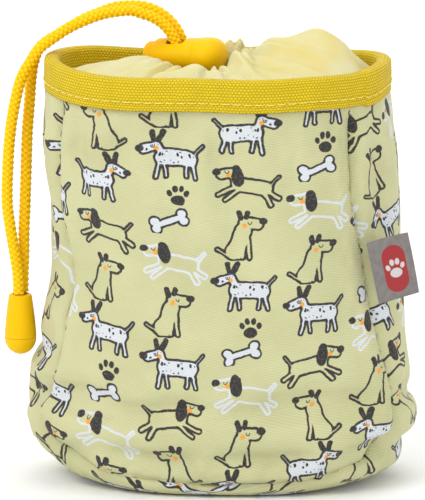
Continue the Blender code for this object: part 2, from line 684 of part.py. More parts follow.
def make_backplate(plastic, near, face, hinge):
    """The plate, with two ears that hold the pin."""
    plate = box(
        "clip_backplate", (-PLATE_SIZE.x / 2, near, CLIP_HEIGHT - PLATE_SIZE.z / 2),
        (PLATE_SIZE.x / 2, face, CLIP_HEIGHT + PLATE_SIZE.z / 2), plastic, 0.5 * MM,
    )
    foot = EAR_RADIUS + 2.4 * MM
    arc = [
        (hinge.y + EAR_RADIUS * math.sin(a), hinge.z + EAR_RADIUS * math.cos(a))
        for a in np.radians(range(0, 181, 30))
    ]
    ear_outline = [(face - 0.8 * MM, hinge.z + foot), *arc, (face - 0.8 * MM, hinge.z - foot)]
    for sign in (-1, 1):
        low, high = sorted((sign * EAR_INNER, sign * EAR_OUTER))
        ear = prism(f"clip_ear_{'right' if sign > 0 else 'left'}", ear_outline, low, high, collection=CUTTERS)
        stand_across(ear)
        cut(plate, ear, "UNION")
    hole = across_cylinder("clip_plate_hole", PIN_RADIUS + PIN_CLEARANCE, 2 * EAR_OUTER, hinge)
    cut(plate, hole)


def stand_across(obj):
    """Turns a prism drawn in (y, z) so that its length runs along X."""
    obj.matrix_world = Matrix(((0, 0, 1, 0), (1, 0, 0, 0), (0, 1, 0, 0), (0, 0, 0, 1)))


def across_cylinder(name, radius, half_length, centre):
    profile = [(0, half_length), (radius, half_length), (radius, -half_length), (0, -half_length)]
    cylinder = turned(name, profile, None, 16, CUTTERS)
    cylinder.rotation_euler = (0, math.radians(90), 0)
    cylinder.location = centre
    return cylinder


def make_lever(plastic, face, hinge):
    """The sprung lever: a thumb pad above the pin, and below it a jaw that bears on the plate."""
    y, z = hinge.y, hinge.z
    outline_points = [
        (y + 3.2 * MM, z + 15 * MM), (y + 2.4 * MM, z + 5 * MM), (y + 2.9 * MM, z),
        (y + 2.2 * MM, z - 4 * MM), (y + 1.8 * MM, z - 18 * MM), (y - 1.2 * MM, z - 23.6 * MM),
        (face + 2.2 * MM, z - 24.6 * MM),
        (face + GAP, z - 23.0 * MM), (face + GAP, z - 22.0 * MM), (y - 1.4 * MM, z - 20.6 * MM),
        (y - 0.1 * MM, z - 17.6 * MM), (y - 0.1 * MM, z - 4 * MM), (y - 2.7 * MM, z - 1.2 * MM),
        (y - 2.7 * MM, z + 1.4 * MM), (y + 0.4 * MM, z + 5 * MM), (y + 1.4 * MM, z + 15 * MM),
    ]
    lever = prism("clip_lever", outline_points, -LEVER_HALF_WIDTH, LEVER_HALF_WIDTH, plastic)
    stand_across(lever)
    edge = lever.modifiers.new("Bevel", "BEVEL")
    edge.width = 0.4 * MM
    edge.segments = 1
    cut(lever, across_cylinder("clip_lever_hole", PIN_RADIUS + PIN_CLEARANCE, 2 * EAR_OUTER, hinge))
    axis = empty("clip_lever_axis", hinge)
    keep_in_place(lever, axis)


def make_clip_spring(steel, face, hinge):
    """A torsion coil round the pin, beside the lever, with one arm on the plate and one behind the pad."""
    low = LEVER_HALF_WIDTH + GAP + CLIP_SPRING_WIRE
    high = EAR_INNER - GAP - CLIP_SPRING_WIRE
    turns = np.linspace(math.pi, math.pi * 6, 36)
    coil = [
        hinge + Vector((x, CLIP_SPRING_RADIUS * math.cos(a), CLIP_SPRING_RADIUS * math.sin(a)))
        for x, a in zip(np.linspace(low, high, len(turns)), turns, strict=True)
    ]
    rest = face + GAP + CLIP_SPRING_WIRE
    plate_arm = [Vector((low, rest, hinge.z - 10 * MM)), Vector((low, rest + 0.4 * MM, hinge.z - 4 * MM))]
    pad_arm = [
        Vector((high, hinge.y + CLIP_SPRING_RADIUS, hinge.z + 4 * MM)),
        Vector((high, hinge.y + 1.9 * MM, hinge.z + 9 * MM)),
    ]
    cord("clip_spring", [*plate_arm, *coil, *pad_arm], CLIP_SPRING_WIRE, steel, 1)


clear_scene()
PARTS = new_collection("treat_pouch")
CUTTERS = new_collection("cutters", hidden=True)
make_panels()
make_rim()
make_collar()
make_cord()
make_lock()
make_cord_end()
make_label()
make_clip()
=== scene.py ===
"""Treat pouch: a printed fabric pouch with a bound rim, a sheer gathered collar on a braided drawcord with a
cord lock, a woven label in its right seam and a belt clip on its back.

Metres, +Z up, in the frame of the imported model, whose front faces -Y.
"""

import math

import bmesh
import bpy
import numpy as np
from mathutils import Matrix, Vector
from mathutils.bvhtree import BVHTree


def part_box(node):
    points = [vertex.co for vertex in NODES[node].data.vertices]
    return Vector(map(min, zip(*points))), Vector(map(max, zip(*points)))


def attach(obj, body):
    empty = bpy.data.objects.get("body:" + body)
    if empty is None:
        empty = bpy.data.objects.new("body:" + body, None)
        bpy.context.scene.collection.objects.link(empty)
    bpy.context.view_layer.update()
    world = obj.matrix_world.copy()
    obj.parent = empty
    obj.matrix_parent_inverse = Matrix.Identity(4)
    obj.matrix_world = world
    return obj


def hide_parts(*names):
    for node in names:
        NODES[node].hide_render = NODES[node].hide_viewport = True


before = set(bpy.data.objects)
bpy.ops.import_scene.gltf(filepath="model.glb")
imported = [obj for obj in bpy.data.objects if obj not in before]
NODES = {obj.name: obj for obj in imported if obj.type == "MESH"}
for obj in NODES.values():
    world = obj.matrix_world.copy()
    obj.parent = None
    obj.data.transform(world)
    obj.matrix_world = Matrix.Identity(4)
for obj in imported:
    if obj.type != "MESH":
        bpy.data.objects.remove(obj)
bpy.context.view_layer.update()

MM = 0.001
FABRIC = "fabric"  # the UV map that holds lengths along the cloth, in metres

# Camera
VIEW_TARGET = Vector((-1.4, 0, 70.3)) * MM
VIEW_AZIMUTH, VIEW_ELEVATION = 4, 12  # degrees
VIEW_DISTANCE = 2200 * MM
VIEW_WIDTH = 131.6 * MM  # what the frame spans at the target
LIGHT_TARGET = Vector((0, 0, 0.07))

# Drawcord, with its route's points in millimetres
CORD_RADIUS = 1.8 * MM
ARCH_CENTRE = Vector((-26.3, 9, 129.5)) * MM
ARCH_RADIUS = 15.5 * MM
ARCH_FROM, ARCH_TO = -24, 78  # degrees
FRONT_LEG_SHIFT = (-1.7 * MM, -1.35 * MM)  # outwards from the arch's radius, and along Y
REAR_LEG_SHIFT = (-0.15 * MM, 2.15 * MM)
FRONT_LEG_START = ((-12.02, 1.76, 114.5), (-12.4, 2.8, 114.5), (-13.3, 4.9, 115.7), (-13.75, 6.7, 118.8))
REAR_LEG_START = ((-4.5, 12.5, 114.5), (-5.6, 12.5, 114.5), (-8.8, 12.4, 115.3), (-11.4, 11.7, 118.4))
FRONT_LEG_END = (
    (-26.8, 7.4, 144.0), (-31.9, 6.9, 143.7), (-36.6, 6.0, 142.8), (-41.5, 4.5, 141.1), (-46.3, 2.8, 139.0),
    (-49.6, 1.0, 137.0), (-52.5, -0.4, 135.1), (-55.1, -1.5, 133.0), (-57.4, -2.4, 129.4),
    (-60.1, -3.0, 124.6), (-62.1, -3.5, 117.2), (-63.7, -4.0, 107.2), (-64.5, -4.7, 95.3),
    (-64.6, -5.1, 84.7), (-63.6, -5.5, 77.1), (-62.3, -6.0, 69.5), (-61.4, -6.3, 63.7), (-61.1, -6.35, 57.0),
)
REAR_LEG_END = (
    (-27.1, 11.2, 144.8), (-32.2, 10.8, 144.4), (-36.9, 9.8, 142.9), (-41.8, 8.4, 141.0), (-46.6, 6.9, 138.4),
    (-49.9, 5.5, 136.4), (-52.8, 4.5, 134.8), (-55.5, 3.9, 132.3), (-57.0, 3.4, 128.4), (-57.8, 2.9, 123.5),
    (-58.3, 2.4, 116.0), (-59.0, 1.6, 106.0), (-59.3, 0.4, 94.3), (-59.6, -0.6, 83.7), (-59.9, -1.5, 75.0),
    (-59.9, -2.2, 68.9), (-60.1, -2.6, 62.6), (-60.2, -2.7, 57.0),
)
LOCK_RISE, LOCK_YAW = 3.2, -25  # degrees round the arch, and about Z
BRAID_STEP = 0.22 * MM
BRAID_AROUND = 42
BRAID_PLAITS = 4  # round the cord, in each direction
BRAID_PITCH = 3.5 * MM  # along the cord, of two plaits
BRAID_RELIEF = 0.5 * MM

# Pouch body
PANEL_OFFSET = 0.9 * MM  # from the lining's outer face to the panels' outer face
PANEL_THICKNESS = 0.6 * MM
LINING_THICKNESS = 0.35 * MM
BASE_RADIUS = 6 * MM
LEFT_ROUNDING, RIGHT_ROUNDING = 8 * MM, 3 * MM  # how much larger the base corner is at the sides
CORNER_LIFT = 2.6 * MM  # of the base's left and right ends
BODY_COLUMNS = 360
WALL_STEP = 1.0 * MM
SIM_COLUMNS, SIM_ROWS = 120, 42
SIM_SCALE = 10  # cloth is simulated this much larger, where Blender's defaults suit it
# Where the cloth falls in: the turn and height of the middle, the half-widths, the depth, in degrees and mm
DENTS = (
    (0, 68, 34, 26, 1.9), (208, 66, 16, 13, 1.5), (226, 92, 12, 15, -0.9), (312, 100, 12, 20, -1.0),
    (326, 62, 9, 24, 1.2), (250, 60, 14, 14, 0.8), (285, 84, 13, 12, 0.8), (292, 42, 16, 9, 0.7),
    (180, 109, 26, 15, -2.2),
)
WRINKLE_LIMIT = 2.4 * MM
SEAM_DEPTH = 2.2 * MM
SEAM_WIDTH = 1.3 * MM

# Rim
BINDING_HEIGHT = 10 * MM
RIM_WOBBLE = 0.225 * MM
STITCH_DROP = 7.6 * MM
LAP_START, LAP_END = 0.905, 0.955  # where the webbing's ends lap, as shares of the way round
STITCH_PITCH = 3.4 * MM
STITCH_LENGTH = 2.9 * MM
THREAD_RADIUS = 0.19 * MM


# Arrays and curves


def smooth_route(points, count):
    """count points, evenly spaced along a centripetal Catmull-Rom curve through the given ones."""
    points = [Vector(p) for p in points]
    ends = [2 * points[0] - points[1], *points, 2 * points[-1] - points[-2]]
    fine = []
    for a, b, c, d in zip(ends, ends[1:], ends[2:], ends[3:], strict=False):
        knots = np.cumsum([0, *((q - p).length ** 0.5 for p, q in ((a, b), (b, c), (c, d)))])
        for t in np.linspace(knots[1], knots[2], 12, endpoint=False):
            u, v, w = (
                (p * (knots[k + 1] - t) + q * (t - knots[k])) / (knots[k + 1] - knots[k])
                for k, (p, q) in enumerate(((a, b), (b, c), (c, d)))
            )
            early = (u * (knots[2] - t) + v * (t - knots[0])) / (knots[2] - knots[0])
            late = (v * (knots[3] - t) + w * (t - knots[1])) / (knots[3] - knots[1])
            fine.append((early * (knots[2] - t) + late * (t - knots[1])) / (knots[2] - knots[1]))
    return evenly(np.array([*fine, points[-1]]), count)


def lengths(line):
    """The distance of each of a polyline's points along it."""
    return np.concatenate([[0], np.cumsum(np.linalg.norm(np.diff(line, axis=0), axis=1))])


def between(places, marks, line):
    """A polyline's points at the places given, where its own points are at the marks."""
    return np.stack([np.interp(places, marks, column) for column in line.T], axis=1)


def evenly(line, count):
    """count points evenly spaced along a polyline."""
    along = lengths(line)
    return between(np.linspace(0, along[-1], count), along, line)


def unit(vectors):
    """Vectors brought to a length of 1."""
    return vectors / np.maximum(np.linalg.norm(vectors, axis=-1, keepdims=True), 1e-12)


def smoothed(values, rounds, axis, wrap=False):
    """values averaged with their neighbours along an axis, again and again."""
    values = np.moveaxis(values.astype(float), axis, 0)
    for _ in range(rounds):
        before, after = np.roll(values, 1, axis=0), np.roll(values, -1, axis=0)
        if not wrap:
            before[0], after[-1] = values[0], values[-1]
        values = (before + 2 * values + after) / 4
    return np.moveaxis(values, 0, axis)


def hill(value, centre, width):
    """A smooth hill, 1 at its centre."""
    return np.exp(-(((value - centre) / width) ** 2))


def on_cloth(x, y):
    """Places on the cloth, from numbers or arrays of x and y."""
    return np.stack(np.broadcast_arrays(x, y), axis=-1)


def ripples(around, up, seed, waves, low, high):
    """Smooth noise of about unit height, periodic in around, which runs from 0 to 1. up is in metres, and
    each wave has low to high crests round the pouch and a slope of its own."""
    draw = np.random.default_rng(seed)
    total = np.zeros(np.broadcast(around, up).shape)
    for _ in range(waves):
        turns = draw.integers(low, high + 1)
        rise = draw.uniform(-1, 1) * 160 * high / 12
        total += math.sqrt(2 / waves) * np.sin(2 * math.pi * (turns * around + draw.random()) + rise * up)
    return total


# Mesh helpers


def add_mesh(name, points, faces, uv=None, finish=None):
    """An object of points and faces. uv gives each point's place on the cloth, in metres."""
    mesh = bpy.data.meshes.new(name)
    mesh.from_pydata(np.asarray(points, float).tolist(), [], faces)
    if uv is not None:
        corners = np.empty(len(mesh.loops), int)
        mesh.loops.foreach_get("vertex_index", corners)
        mesh.uv_layers.new(name=FABRIC).data.foreach_set("uv", np.asarray(uv, float)[corners].ravel())
    mesh.shade_smooth()
    obj = bpy.data.objects.new(name, mesh)
    bpy.context.scene.collection.objects.link(obj)
    if finish:
        mesh.materials.append(finish)
    return obj


def strips(rows, columns, wrap=True):
    """Quads of a grid of rows, facing out where the rows run anticlockwise upwards."""
    faces = []
    for row in range(rows - 1):
        for k in range(columns if wrap else columns - 1):
            after = (k + 1) % columns
            faces.append((row * columns + k, row * columns + after,
                          (row + 1) * columns + after, (row + 1) * columns + k))
    return faces


def sleeve(name, rings, uv, girth, finish):
    """A surface through closed rings of the girth given. Its first column of points is doubled, so that the
    places on the cloth don't turn back where it closes."""
    rings = np.concatenate([rings, rings[:, :1]], axis=1)
    around = on_cloth(np.broadcast_to(girth, len(uv)), 0)[:, None]
    uv = np.concatenate([uv, uv[:, :1] + around], axis=1)
    rows, columns = rings.shape[:2]
    obj = add_mesh(name, rings.reshape(-1, 3), strips(rows, columns, False), uv.reshape(-1, 2), finish)
    weld(obj)
    return obj


def edit(obj, change=None, turn_out=True):
    """Runs a change on an object's mesh, and turns its faces outwards."""
    shape = bmesh.new()
    shape.from_mesh(obj.data)
    if change:
        change(shape)
    if turn_out:
        bmesh.ops.recalc_face_normals(shape, faces=shape.faces)
    shape.to_mesh(obj.data)
    shape.free()


def weld(obj, distance=1e-6):
    edit(obj, lambda shape: bmesh.ops.remove_doubles(shape, verts=shape.verts, dist=distance), False)


def thicken(obj, thickness):
    """Gives a surface its thickness, inwards."""
    solidify = obj.modifiers.new("Thickness", "SOLIDIFY")
    solidify.thickness = thickness
    solidify.offset = -1
    apply_modifiers(obj)


def apply_modifiers(obj):
    """Makes an object's mesh what its modifiers make of it."""
    evaluated = obj.evaluated_get(bpy.context.evaluated_depsgraph_get())
    mesh = bpy.data.meshes.new_from_object(evaluated)
    obj.modifiers.clear()
    obj.data = mesh


def declare(obj, body, slot, *nodes):
    """obj rides on a body and stands for CAD nodes, which it hides. slot is not used."""
    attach(obj, body)
    if nodes:
        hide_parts(*nodes)


def joined(name, pieces, finish):
    """One object of many (points, faces) pieces."""
    points, faces = [], []
    for piece_points, piece_faces in pieces:
        start = len(points)
        points.extend(np.asarray(piece_points).tolist())
        faces.extend(tuple(start + k for k in face) for face in piece_faces)
    return add_mesh(name, points, faces, finish=finish)


def frames_along(line, up):
    """For each point of a line, two directions across it that don't twist."""
    along = unit(np.gradient(line, axis=0))
    across = [np.cross(along[0], up)]
    for direction in along:
        side = across[-1] - direction * np.dot(across[-1], direction)
        across.append(side / np.linalg.norm(side))
    across = np.array(across[1:])
    return across, np.cross(along, across)


def tube(line, radii, sides, up=(0, 0, 1)):
    """Points and faces of a closed tube along a line. radii holds a number for each of the line's points, or
    for each point and side."""
    across, over = frames_along(line, np.array(up, float))
    turn = np.linspace(0, 2 * math.pi, sides, endpoint=False)
    ring = across[:, None] * np.cos(turn)[None, :, None] + over[:, None] * np.sin(turn)[None, :, None]
    radii = radii.reshape(len(line), -1, 1)
    points = (line[:, None] + ring * radii).reshape(-1, 3)
    faces = [face[::-1] for face in strips(len(line), sides)]
    faces += [tuple(range(sides)), tuple(range(len(points) - sides, len(points)))[::-1]]
    return points, faces


# Cloth


def drape(points, faces, hold, frames, stretch, pressure, stiffness, bending, gravity):
    """Where the points come to rest as simulated cloth. hold is how firmly each is pinned, from 0 to 1, and
    stretch is how much larger the cloth is cut than the space it fills."""
    scene = bpy.context.scene
    obj = add_mesh("cloth_trial", points * SIM_SCALE, faces)
    group = obj.vertex_groups.new(name="hold")
    for k, weight in enumerate(hold):
        group.add([k], float(weight), "REPLACE")
    cloth = obj.modifiers.new("Cloth", "CLOTH")
    settings = cloth.settings
    settings.vertex_group_mass = "hold"
    settings.quality = 6
    settings.mass = 0.1
    settings.tension_stiffness = settings.compression_stiffness = stiffness
    settings.shear_stiffness = stiffness / 3
    settings.bending_stiffness = bending
    settings.shrink_min = -stretch
    settings.use_pressure = True
    settings.uniform_pressure_force = pressure
    settings.effector_weights.gravity = gravity
    cloth.collision_settings.use_collision = False
    cloth.collision_settings.use_self_collision = False
    cloth.point_cache.frame_start = 1
    cloth.point_cache.frame_end = frames
    for step in range(1, frames + 1):
        scene.frame_set(step)
    evaluated = obj.evaluated_get(bpy.context.evaluated_depsgraph_get())
    rest = np.empty(len(points) * 3)
    evaluated.data.vertices.foreach_get("co", rest)
    scene.frame_set(1)
    mesh = obj.data
    bpy.data.objects.remove(obj)
    bpy.data.meshes.remove(mesh)
    return rest.reshape(-1, 3) / SIM_SCALE


# Materials


class Shader:
    """A material written as expressions. An input is a socket, a number, or a vector's or colour's tuple."""

    def __init__(self, name, **settings):
        self.material = bpy.data.materials.new(name)
        self.material.use_nodes = True
        self.tree = self.material.node_tree
        self.surface = self.tree.nodes["Principled BSDF"]
        self.output = self.tree.nodes["Material Output"]
        self.set(self.surface, {key.replace("_", " ").title(): value for key, value in settings.items()})

    def set(self, node, inputs):
        for where, value in inputs.items():
            socket = node.inputs[where]
            if isinstance(value, bpy.types.NodeSocket):
                self.tree.links.new(value, socket)
            elif socket.type == "RGBA":
                socket.default_value = (*value[:3], 1)
            else:
                socket.default_value = value

    def add(self, kind, inputs=None, output=0, **settings):
        node = self.tree.nodes.new("ShaderNode" + kind)
        for key, value in settings.items():
            setattr(node, key, value)
        self.set(node, inputs or {})
        return node.outputs[output]

    def math(self, operation, *values, clamp=False):
        return self.add("Math", dict(enumerate(values)), operation=operation, use_clamp=clamp)

    def vector(self, operation, *values):
        output = int(operation in ("LENGTH", "DOT_PRODUCT", "DISTANCE"))
        return self.add("VectorMath", dict(enumerate(values)), output, operation=operation)

    def scale(self, vector, factor):
        return self.add("VectorMath", {0: vector, 3: factor}, operation="SCALE")

    def ramp(self, value, low, high, start=0.0, end=1.0):
        return self.add("MapRange", {0: value, 1: low, 2: high, 3: start, 4: end})

    def blend(self, factor, first, second):
        return self.add("Mix", {0: factor, 6: first, 7: second}, 2, data_type="RGBA")

    def noise(self, at, scale, detail=2.0, roughness=0.5):
        return self.add("TexNoise", {"Vector": at, "Scale": scale, "Detail": detail, "Roughness": roughness})

    def place(self):
        return self.add("TexCoord", output="Object")

    def cloth(self):
        """The place on the cloth, in millimetres."""
        return self.scale(self.add("UVMap", uv_map=FABRIC), 1 / MM)

    def split(self, vector):
        node = self.tree.nodes.new("ShaderNodeSeparateXYZ")
        self.set(node, {0: vector})
        return node.outputs[0], node.outputs[1]

    def join(self, x, y):
        return self.add("CombineXYZ", {0: x, 1: y})

    def turned(self, vector, degrees):
        inputs = {"Vector": vector, "Angle": math.radians(degrees)}
        return self.add("VectorRotate", inputs, rotation_type="Z_AXIS")

    def bump(self, height, strength, distance, below=None):
        inputs = {"Height": height, "Strength": strength, "Distance": distance}
        if below:
            inputs["Normal"] = below
        return self.add("Bump", inputs)

    def wave(self, value):
        """0 to 1 and back over each unit of value."""
        cosine = self.math("COSINE", self.math("MULTIPLY", value, 2 * math.pi))
        return self.math("MULTIPLY_ADD", cosine, -0.5, 0.5)

    def weave(self, x, y, wide, tall):
        """How high a plain weave's threads stand, from 0 to 1, with cells of wide by tall, rows staggered."""
        row = self.math("DIVIDE", y, tall)
        shift = self.math("MULTIPLY", self.math("MODULO", self.math("FLOOR", row), 2), 0.5)
        column = self.math("ADD", self.math("DIVIDE", x, wide), shift)
        across = self.math("POWER", self.wave(column), 0.6)
        return self.math("MULTIPLY", across, self.math("POWER", self.wave(row), 0.6))

    def finish(self, colour=None, roughness=None, normal=None):
        chosen = {"Base Color": colour, "Roughness": roughness, "Normal": normal}
        self.set(self.surface, {key: value for key, value in chosen.items() if value is not None})
        return self.material


class Drawing:
    """Signed distances, in millimetres, of shapes drawn about a cell's middle."""

    def __init__(self, shader, at):
        self.shader, self.at = shader, at

    def stroke(self, start, end, radius):
        """A line with round ends."""
        make = self.shader
        run = Vector((end[0] - start[0], end[1] - start[1], 0))
        offset = make.vector("SUBTRACT", self.at, (*start, 0))
        share = make.vector("DOT_PRODUCT", offset, tuple(run / run.length_squared))
        share = make.math("MULTIPLY", share, 1.0, clamp=True)
        nearest = make.scale(tuple(run), share)
        return make.math("SUBTRACT", make.vector("DISTANCE", offset, nearest), radius)

    def oval(self, centre, size, degrees=0):
        """An ellipse of size = (half-width, half-height), by scaling it to a circle."""
        make = self.shader
        offset = make.vector("SUBTRACT", self.at, (*centre, 0))
        if degrees:
            offset = make.turned(offset, -degrees)
        narrow = min(size)
        scaled = make.vector("MULTIPLY", offset, (narrow / size[0], narrow / size[1], 1))
        return make.math("SUBTRACT", make.vector("LENGTH", scaled), narrow)

    def union(self, shapes, soft=0.0):
        """The union of shapes, each given as a function that makes its nodes."""
        total = None
        for shape in shapes:
            distance = shape()
            if total is None:
                total = distance
            elif soft:
                total = self.shader.math("SMOOTH_MIN", total, distance, soft)
            else:
                total = self.shader.math("MINIMUM", total, distance)
        return total

    def strokes(self, lines, soft=0.0):
        return self.union([lambda line=line: self.stroke(*line) for line in lines], soft)

    def ovals(self, places):
        return self.union([lambda place=place: self.oval(*place) for place in places])


# Each animal: its body's strokes, its solid black strokes and ovals, its closed eye, and its cheek
STANDING_DOG = {
    "body": (
        ((-4.4, -0.2), (2.9, 0.1), 2.5), ((3.2, 0.8), (4.6, 3.6), 1.15), ((4.9, 3.9), (8.4, 2.7), 1.4),
        ((-5.4, -1.6), (-6.2, -5.8), 0.62), ((-3.9, -1.6), (-3.5, -5.6), 0.55),
        ((2.7, -1.6), (2.3, -5.6), 0.55),
        ((4.2, -1.2), (5.2, -5.8), 0.62), ((-6.2, 1.4), (-8.4, 4.0), 0.42),
    ),
    "strokes": (((4.1, 5.6), (2.9, 8.0), 0.78), ((5.5, 5.6), (5.9, 7.9), 0.7)),
    "ovals": (((9.7, 2.9), (1.15, 0.95)),),
    "eye": (5.9, 3.9), "cheek": (4.9, 3.0),
}
SITTING_DOG = {
    "body": (
        ((-1.6, -3.6), (0.2, 2.0), 2.5), ((-2.3, -4.0), (-1.9, -3.6), 2.8),
        ((0.6, 4.6), (4.4, 4.3), 1.75), ((1.6, -0.6), (2.2, -5.9), 0.72),
        ((0.0, -2.0), (0.1, -5.9), 0.72), ((-3.4, -5.9), (-0.9, -6.1), 0.6),
        ((-4.6, -5.2), (-7.4, -3.4), 0.5),
    ),
    "strokes": (((-0.6, 5.9), (-1.1, 7.5), 0.75), ((1.0, 6.4), (1.4, 7.7), 0.7)),
    "ovals": (((6.1, 5.2), (1.15, 1.0)),),
    "eye": (2.2, 4.8), "cheek": (0.6, 3.6),
}
RUNNING_DOG = {
    "body": (
        ((-4.6, -0.6), (2.8, 0.6), 2.3), ((3.2, 1.4), (4.4, 3.4), 1.6), ((4.4, 3.9), (8.0, 3.2), 1.5),
        ((3.4, -0.4), (8.8, -2.8), 0.68), ((2.4, -0.8), (6.8, -4.6), 0.68),
        ((-5.0, -1.2), (-8.8, -3.8), 0.72),
        ((-4.2, -1.6), (-6.6, -5.8), 0.72), ((-6.4, 0.6), (-8.6, 3.0), 0.42),
    ),
    "strokes": (((3.2, 4.7), (3.6, 5.1), 1.2),),
    "ovals": (((3.2, 2.7), (1.75, 2.8), -8), ((9.4, 4.0), (1.15, 0.95))),
    "eye": (6.4, 4.2), "cheek": (5.8, 2.9),
}
BONE = (((-3.8, -4.6), (3.8, -2.0), 1.05), ((-4.4, -3.4), (-4.1, -3.5), 1.45),
        ((-3.8, -5.7), (-3.6, -5.6), 1.45), ((3.8, -0.9), (3.6, -1.0), 1.45),
        ((4.4, -3.2), (4.1, -3.1), 1.45))
PAW = (((2.6, 3.0), (2.1, 1.6)), ((0.1, 5.1), (0.8, 1.05), 18), ((1.7, 6.5), (0.8, 1.1), 5),
       ((3.6, 6.5), (0.8, 1.1), -5), ((5.2, 5.1), (0.8, 1.05), -18))
CELL_WIDE, CELL_TALL = 21.6, 16.0  # of the print, in millimetres, like all that is drawn in a cell
MOTIF_SHIFT = (0.8, 1.0)
KINDS = 7  # two of each animal, and a bone with a paw
LINE = 0.37  # half the drawn line's width
RIB_TURN, RIB_PITCH, THREAD_PITCH = 14, 0.78, 0.42  # degrees, then millimetres
INK, CHALK, CHEEK = (0.022, 0.019, 0.021), (0.62, 0.65, 0.68), (0.78, 0.34, 0.04)


def cell_place(make, at):
    """The place within a cell of the print, mirrored in half of the cells, and the cell's column and row."""
    x, y = make.split(at)
    column = make.math("FLOOR", make.math("DIVIDE", x, CELL_WIDE))
    dropped = make.math("MULTIPLY_ADD", make.math("PINGPONG", column, 1), CELL_TALL / 2, y)
    row = make.math("FLOOR", make.math("DIVIDE", dropped, CELL_TALL))
    across = make.math("SUBTRACT", x, make.math("MULTIPLY", make.math("ADD", column, 0.5), CELL_WIDE))
    up = make.math("SUBTRACT", dropped, make.math("MULTIPLY", make.math("ADD", row, 0.5), CELL_TALL))
    flip = make.math("PINGPONG", make.math("ADD", row, make.math("FLOOR", make.math("DIVIDE", column, 2))), 1)
    across = make.math("MULTIPLY", across, make.math("MULTIPLY_ADD", flip, -2, 1))
    at = make.vector("ADD", make.join(across, up), (*MOTIF_SHIFT, 0))
    return at, column, row


def near(make, value, whole):
    """1 where value is that whole number."""
    return make.math("COMPARE", value, whole, 0.5)


def below(make, distance, limit):
    """1 inside a shape's distance limit, with a soft edge."""
    return make.ramp(distance, limit + 0.09, limit - 0.09)


def make_print():
    """Pale oxford polyester with fine ribs, printed with doodled dogs, bones and paws."""
    make = Shader("printed_polyester", roughness=0.8, sheen_weight=0.08, sheen_roughness=0.5)
    flat = make.cloth()
    wobble = make.add("TexNoise", {"Vector": flat, "Scale": 0.35, "Detail": 2.0}, 1)
    wobble = make.scale(make.vector("SUBTRACT", wobble, (0.5, 0.5, 0.5)), 0.9)
    at, column, row = cell_place(make, make.vector("ADD", flat, wobble))
    kind = make.math("ADD", make.math("MULTIPLY_ADD", column, 3, row), 100 * KINDS)
    kind = make.math("MODULO", kind, KINDS)
    cloth = make.ramp(make.noise(flat, 0.045, 3.0), 0.3, 0.7)
    base = make.blend(cloth, (0.50, 0.495, 0.26), (0.58, 0.57, 0.32))
    spread = make.vector("MULTIPLY", at, (1.05, 0.72, 1))
    flecks = make.add("TexVoronoi", {"Vector": spread, "Scale": 0.8, "Randomness": 0.75})
    flecks = make.ramp(flecks, 0.40, 0.33)
    ink, chalk, cheek = None, None, None
    for index, animal in enumerate((STANDING_DOG, SITTING_DOG, RUNNING_DOG)):
        draw = Drawing(make, at)
        here = make.math("MAXIMUM", near(make, kind, index), near(make, kind, index + 3))
        body = draw.strokes(animal["body"], 0.9)
        outline = below(make, make.math("ABSOLUTE", body), LINE)
        inside = make.math("MULTIPLY", below(make, body, 0), here)
        black = draw.strokes(animal["strokes"])
        black = make.math("MINIMUM", black, draw.ovals(animal["ovals"]))
        x, y = animal["eye"]
        eye = make.math("ABSOLUTE", draw.oval((x, y), (0.55, 0.62)))
        eye = make.math("MAXIMUM", eye, make.math("SUBTRACT", make.split(at)[1], y))
        black = make.math("MINIMUM", black, make.math("SUBTRACT", eye, 0.02))
        black = make.math("MULTIPLY", below(make, black, 0.12), here)
        if index == 2:
            lined = near(make, kind, index + 3)
            chalk_line = make.math("MULTIPLY", outline, lined)
            chalk = make.math("MAXIMUM", chalk, chalk_line)
            outline = make.math("MULTIPLY", outline, make.math("SUBTRACT", 1.0, lined))
        marks = make.math("MAXIMUM", make.math("MULTIPLY", outline, here), black)
        if index == 0:
            chalk = inside
            spotted = make.math("MULTIPLY", flecks, below(make, body, -0.75))
            marks = make.math("MULTIPLY", make.math("MAXIMUM", marks, spotted), here)
        spot = make.math("MULTIPLY", below(make, draw.oval(animal["cheek"], (0.75, 0.75)), 0), here)
        cheek = spot if cheek is None else make.math("MAXIMUM", cheek, spot)
        ink = marks if ink is None else make.math("MAXIMUM", ink, marks)
    draw = Drawing(make, at)
    bone = draw.strokes(BONE, 0.5)
    bone_here = near(make, kind, KINDS - 1)
    chalk = make.math("MAXIMUM", chalk, make.math("MULTIPLY", below(make, bone, 0), bone_here))
    bone_line = make.math("MULTIPLY", below(make, make.math("ABSOLUTE", bone), LINE * 0.9), bone_here)
    paw = make.math("MULTIPLY", below(make, draw.ovals(PAW), 0), bone_here)
    ink = make.math("MAXIMUM", ink, make.math("MAXIMUM", bone_line, paw))
    base = make.blend(chalk, base, CHALK)
    base = make.blend(cheek, base, CHEEK)
    worn = make.ramp(make.noise(flat, 1.6, 3.0), 0.25, 0.5, 0.85, 1.0)
    base = make.blend(make.math("MULTIPLY", ink, worn), base, INK)
    x, y = make.split(make.turned(flat, RIB_TURN))
    rib = make.wave(make.math("DIVIDE", y, RIB_PITCH))
    fine = make.wave(make.math("DIVIDE", x, THREAD_PITCH))
    threads = make.math("MULTIPLY_ADD", fine, 0.3, rib)
    # painted shade in the ribs' troughs and a faint painted highlight on their crowns
    shade = make.ramp(threads, 0.0, 1.3, 0.9, 1.04)
    colour = make.vector("MULTIPLY", base, make.add("CombineXYZ", {0: shade, 1: shade, 2: shade}))
    broad = make.bump(make.noise(flat, 0.25, 2.0), 0.35, 1.2 * MM)
    return make.finish(colour, normal=make.bump(threads, 0.35, 0.12 * MM, broad))


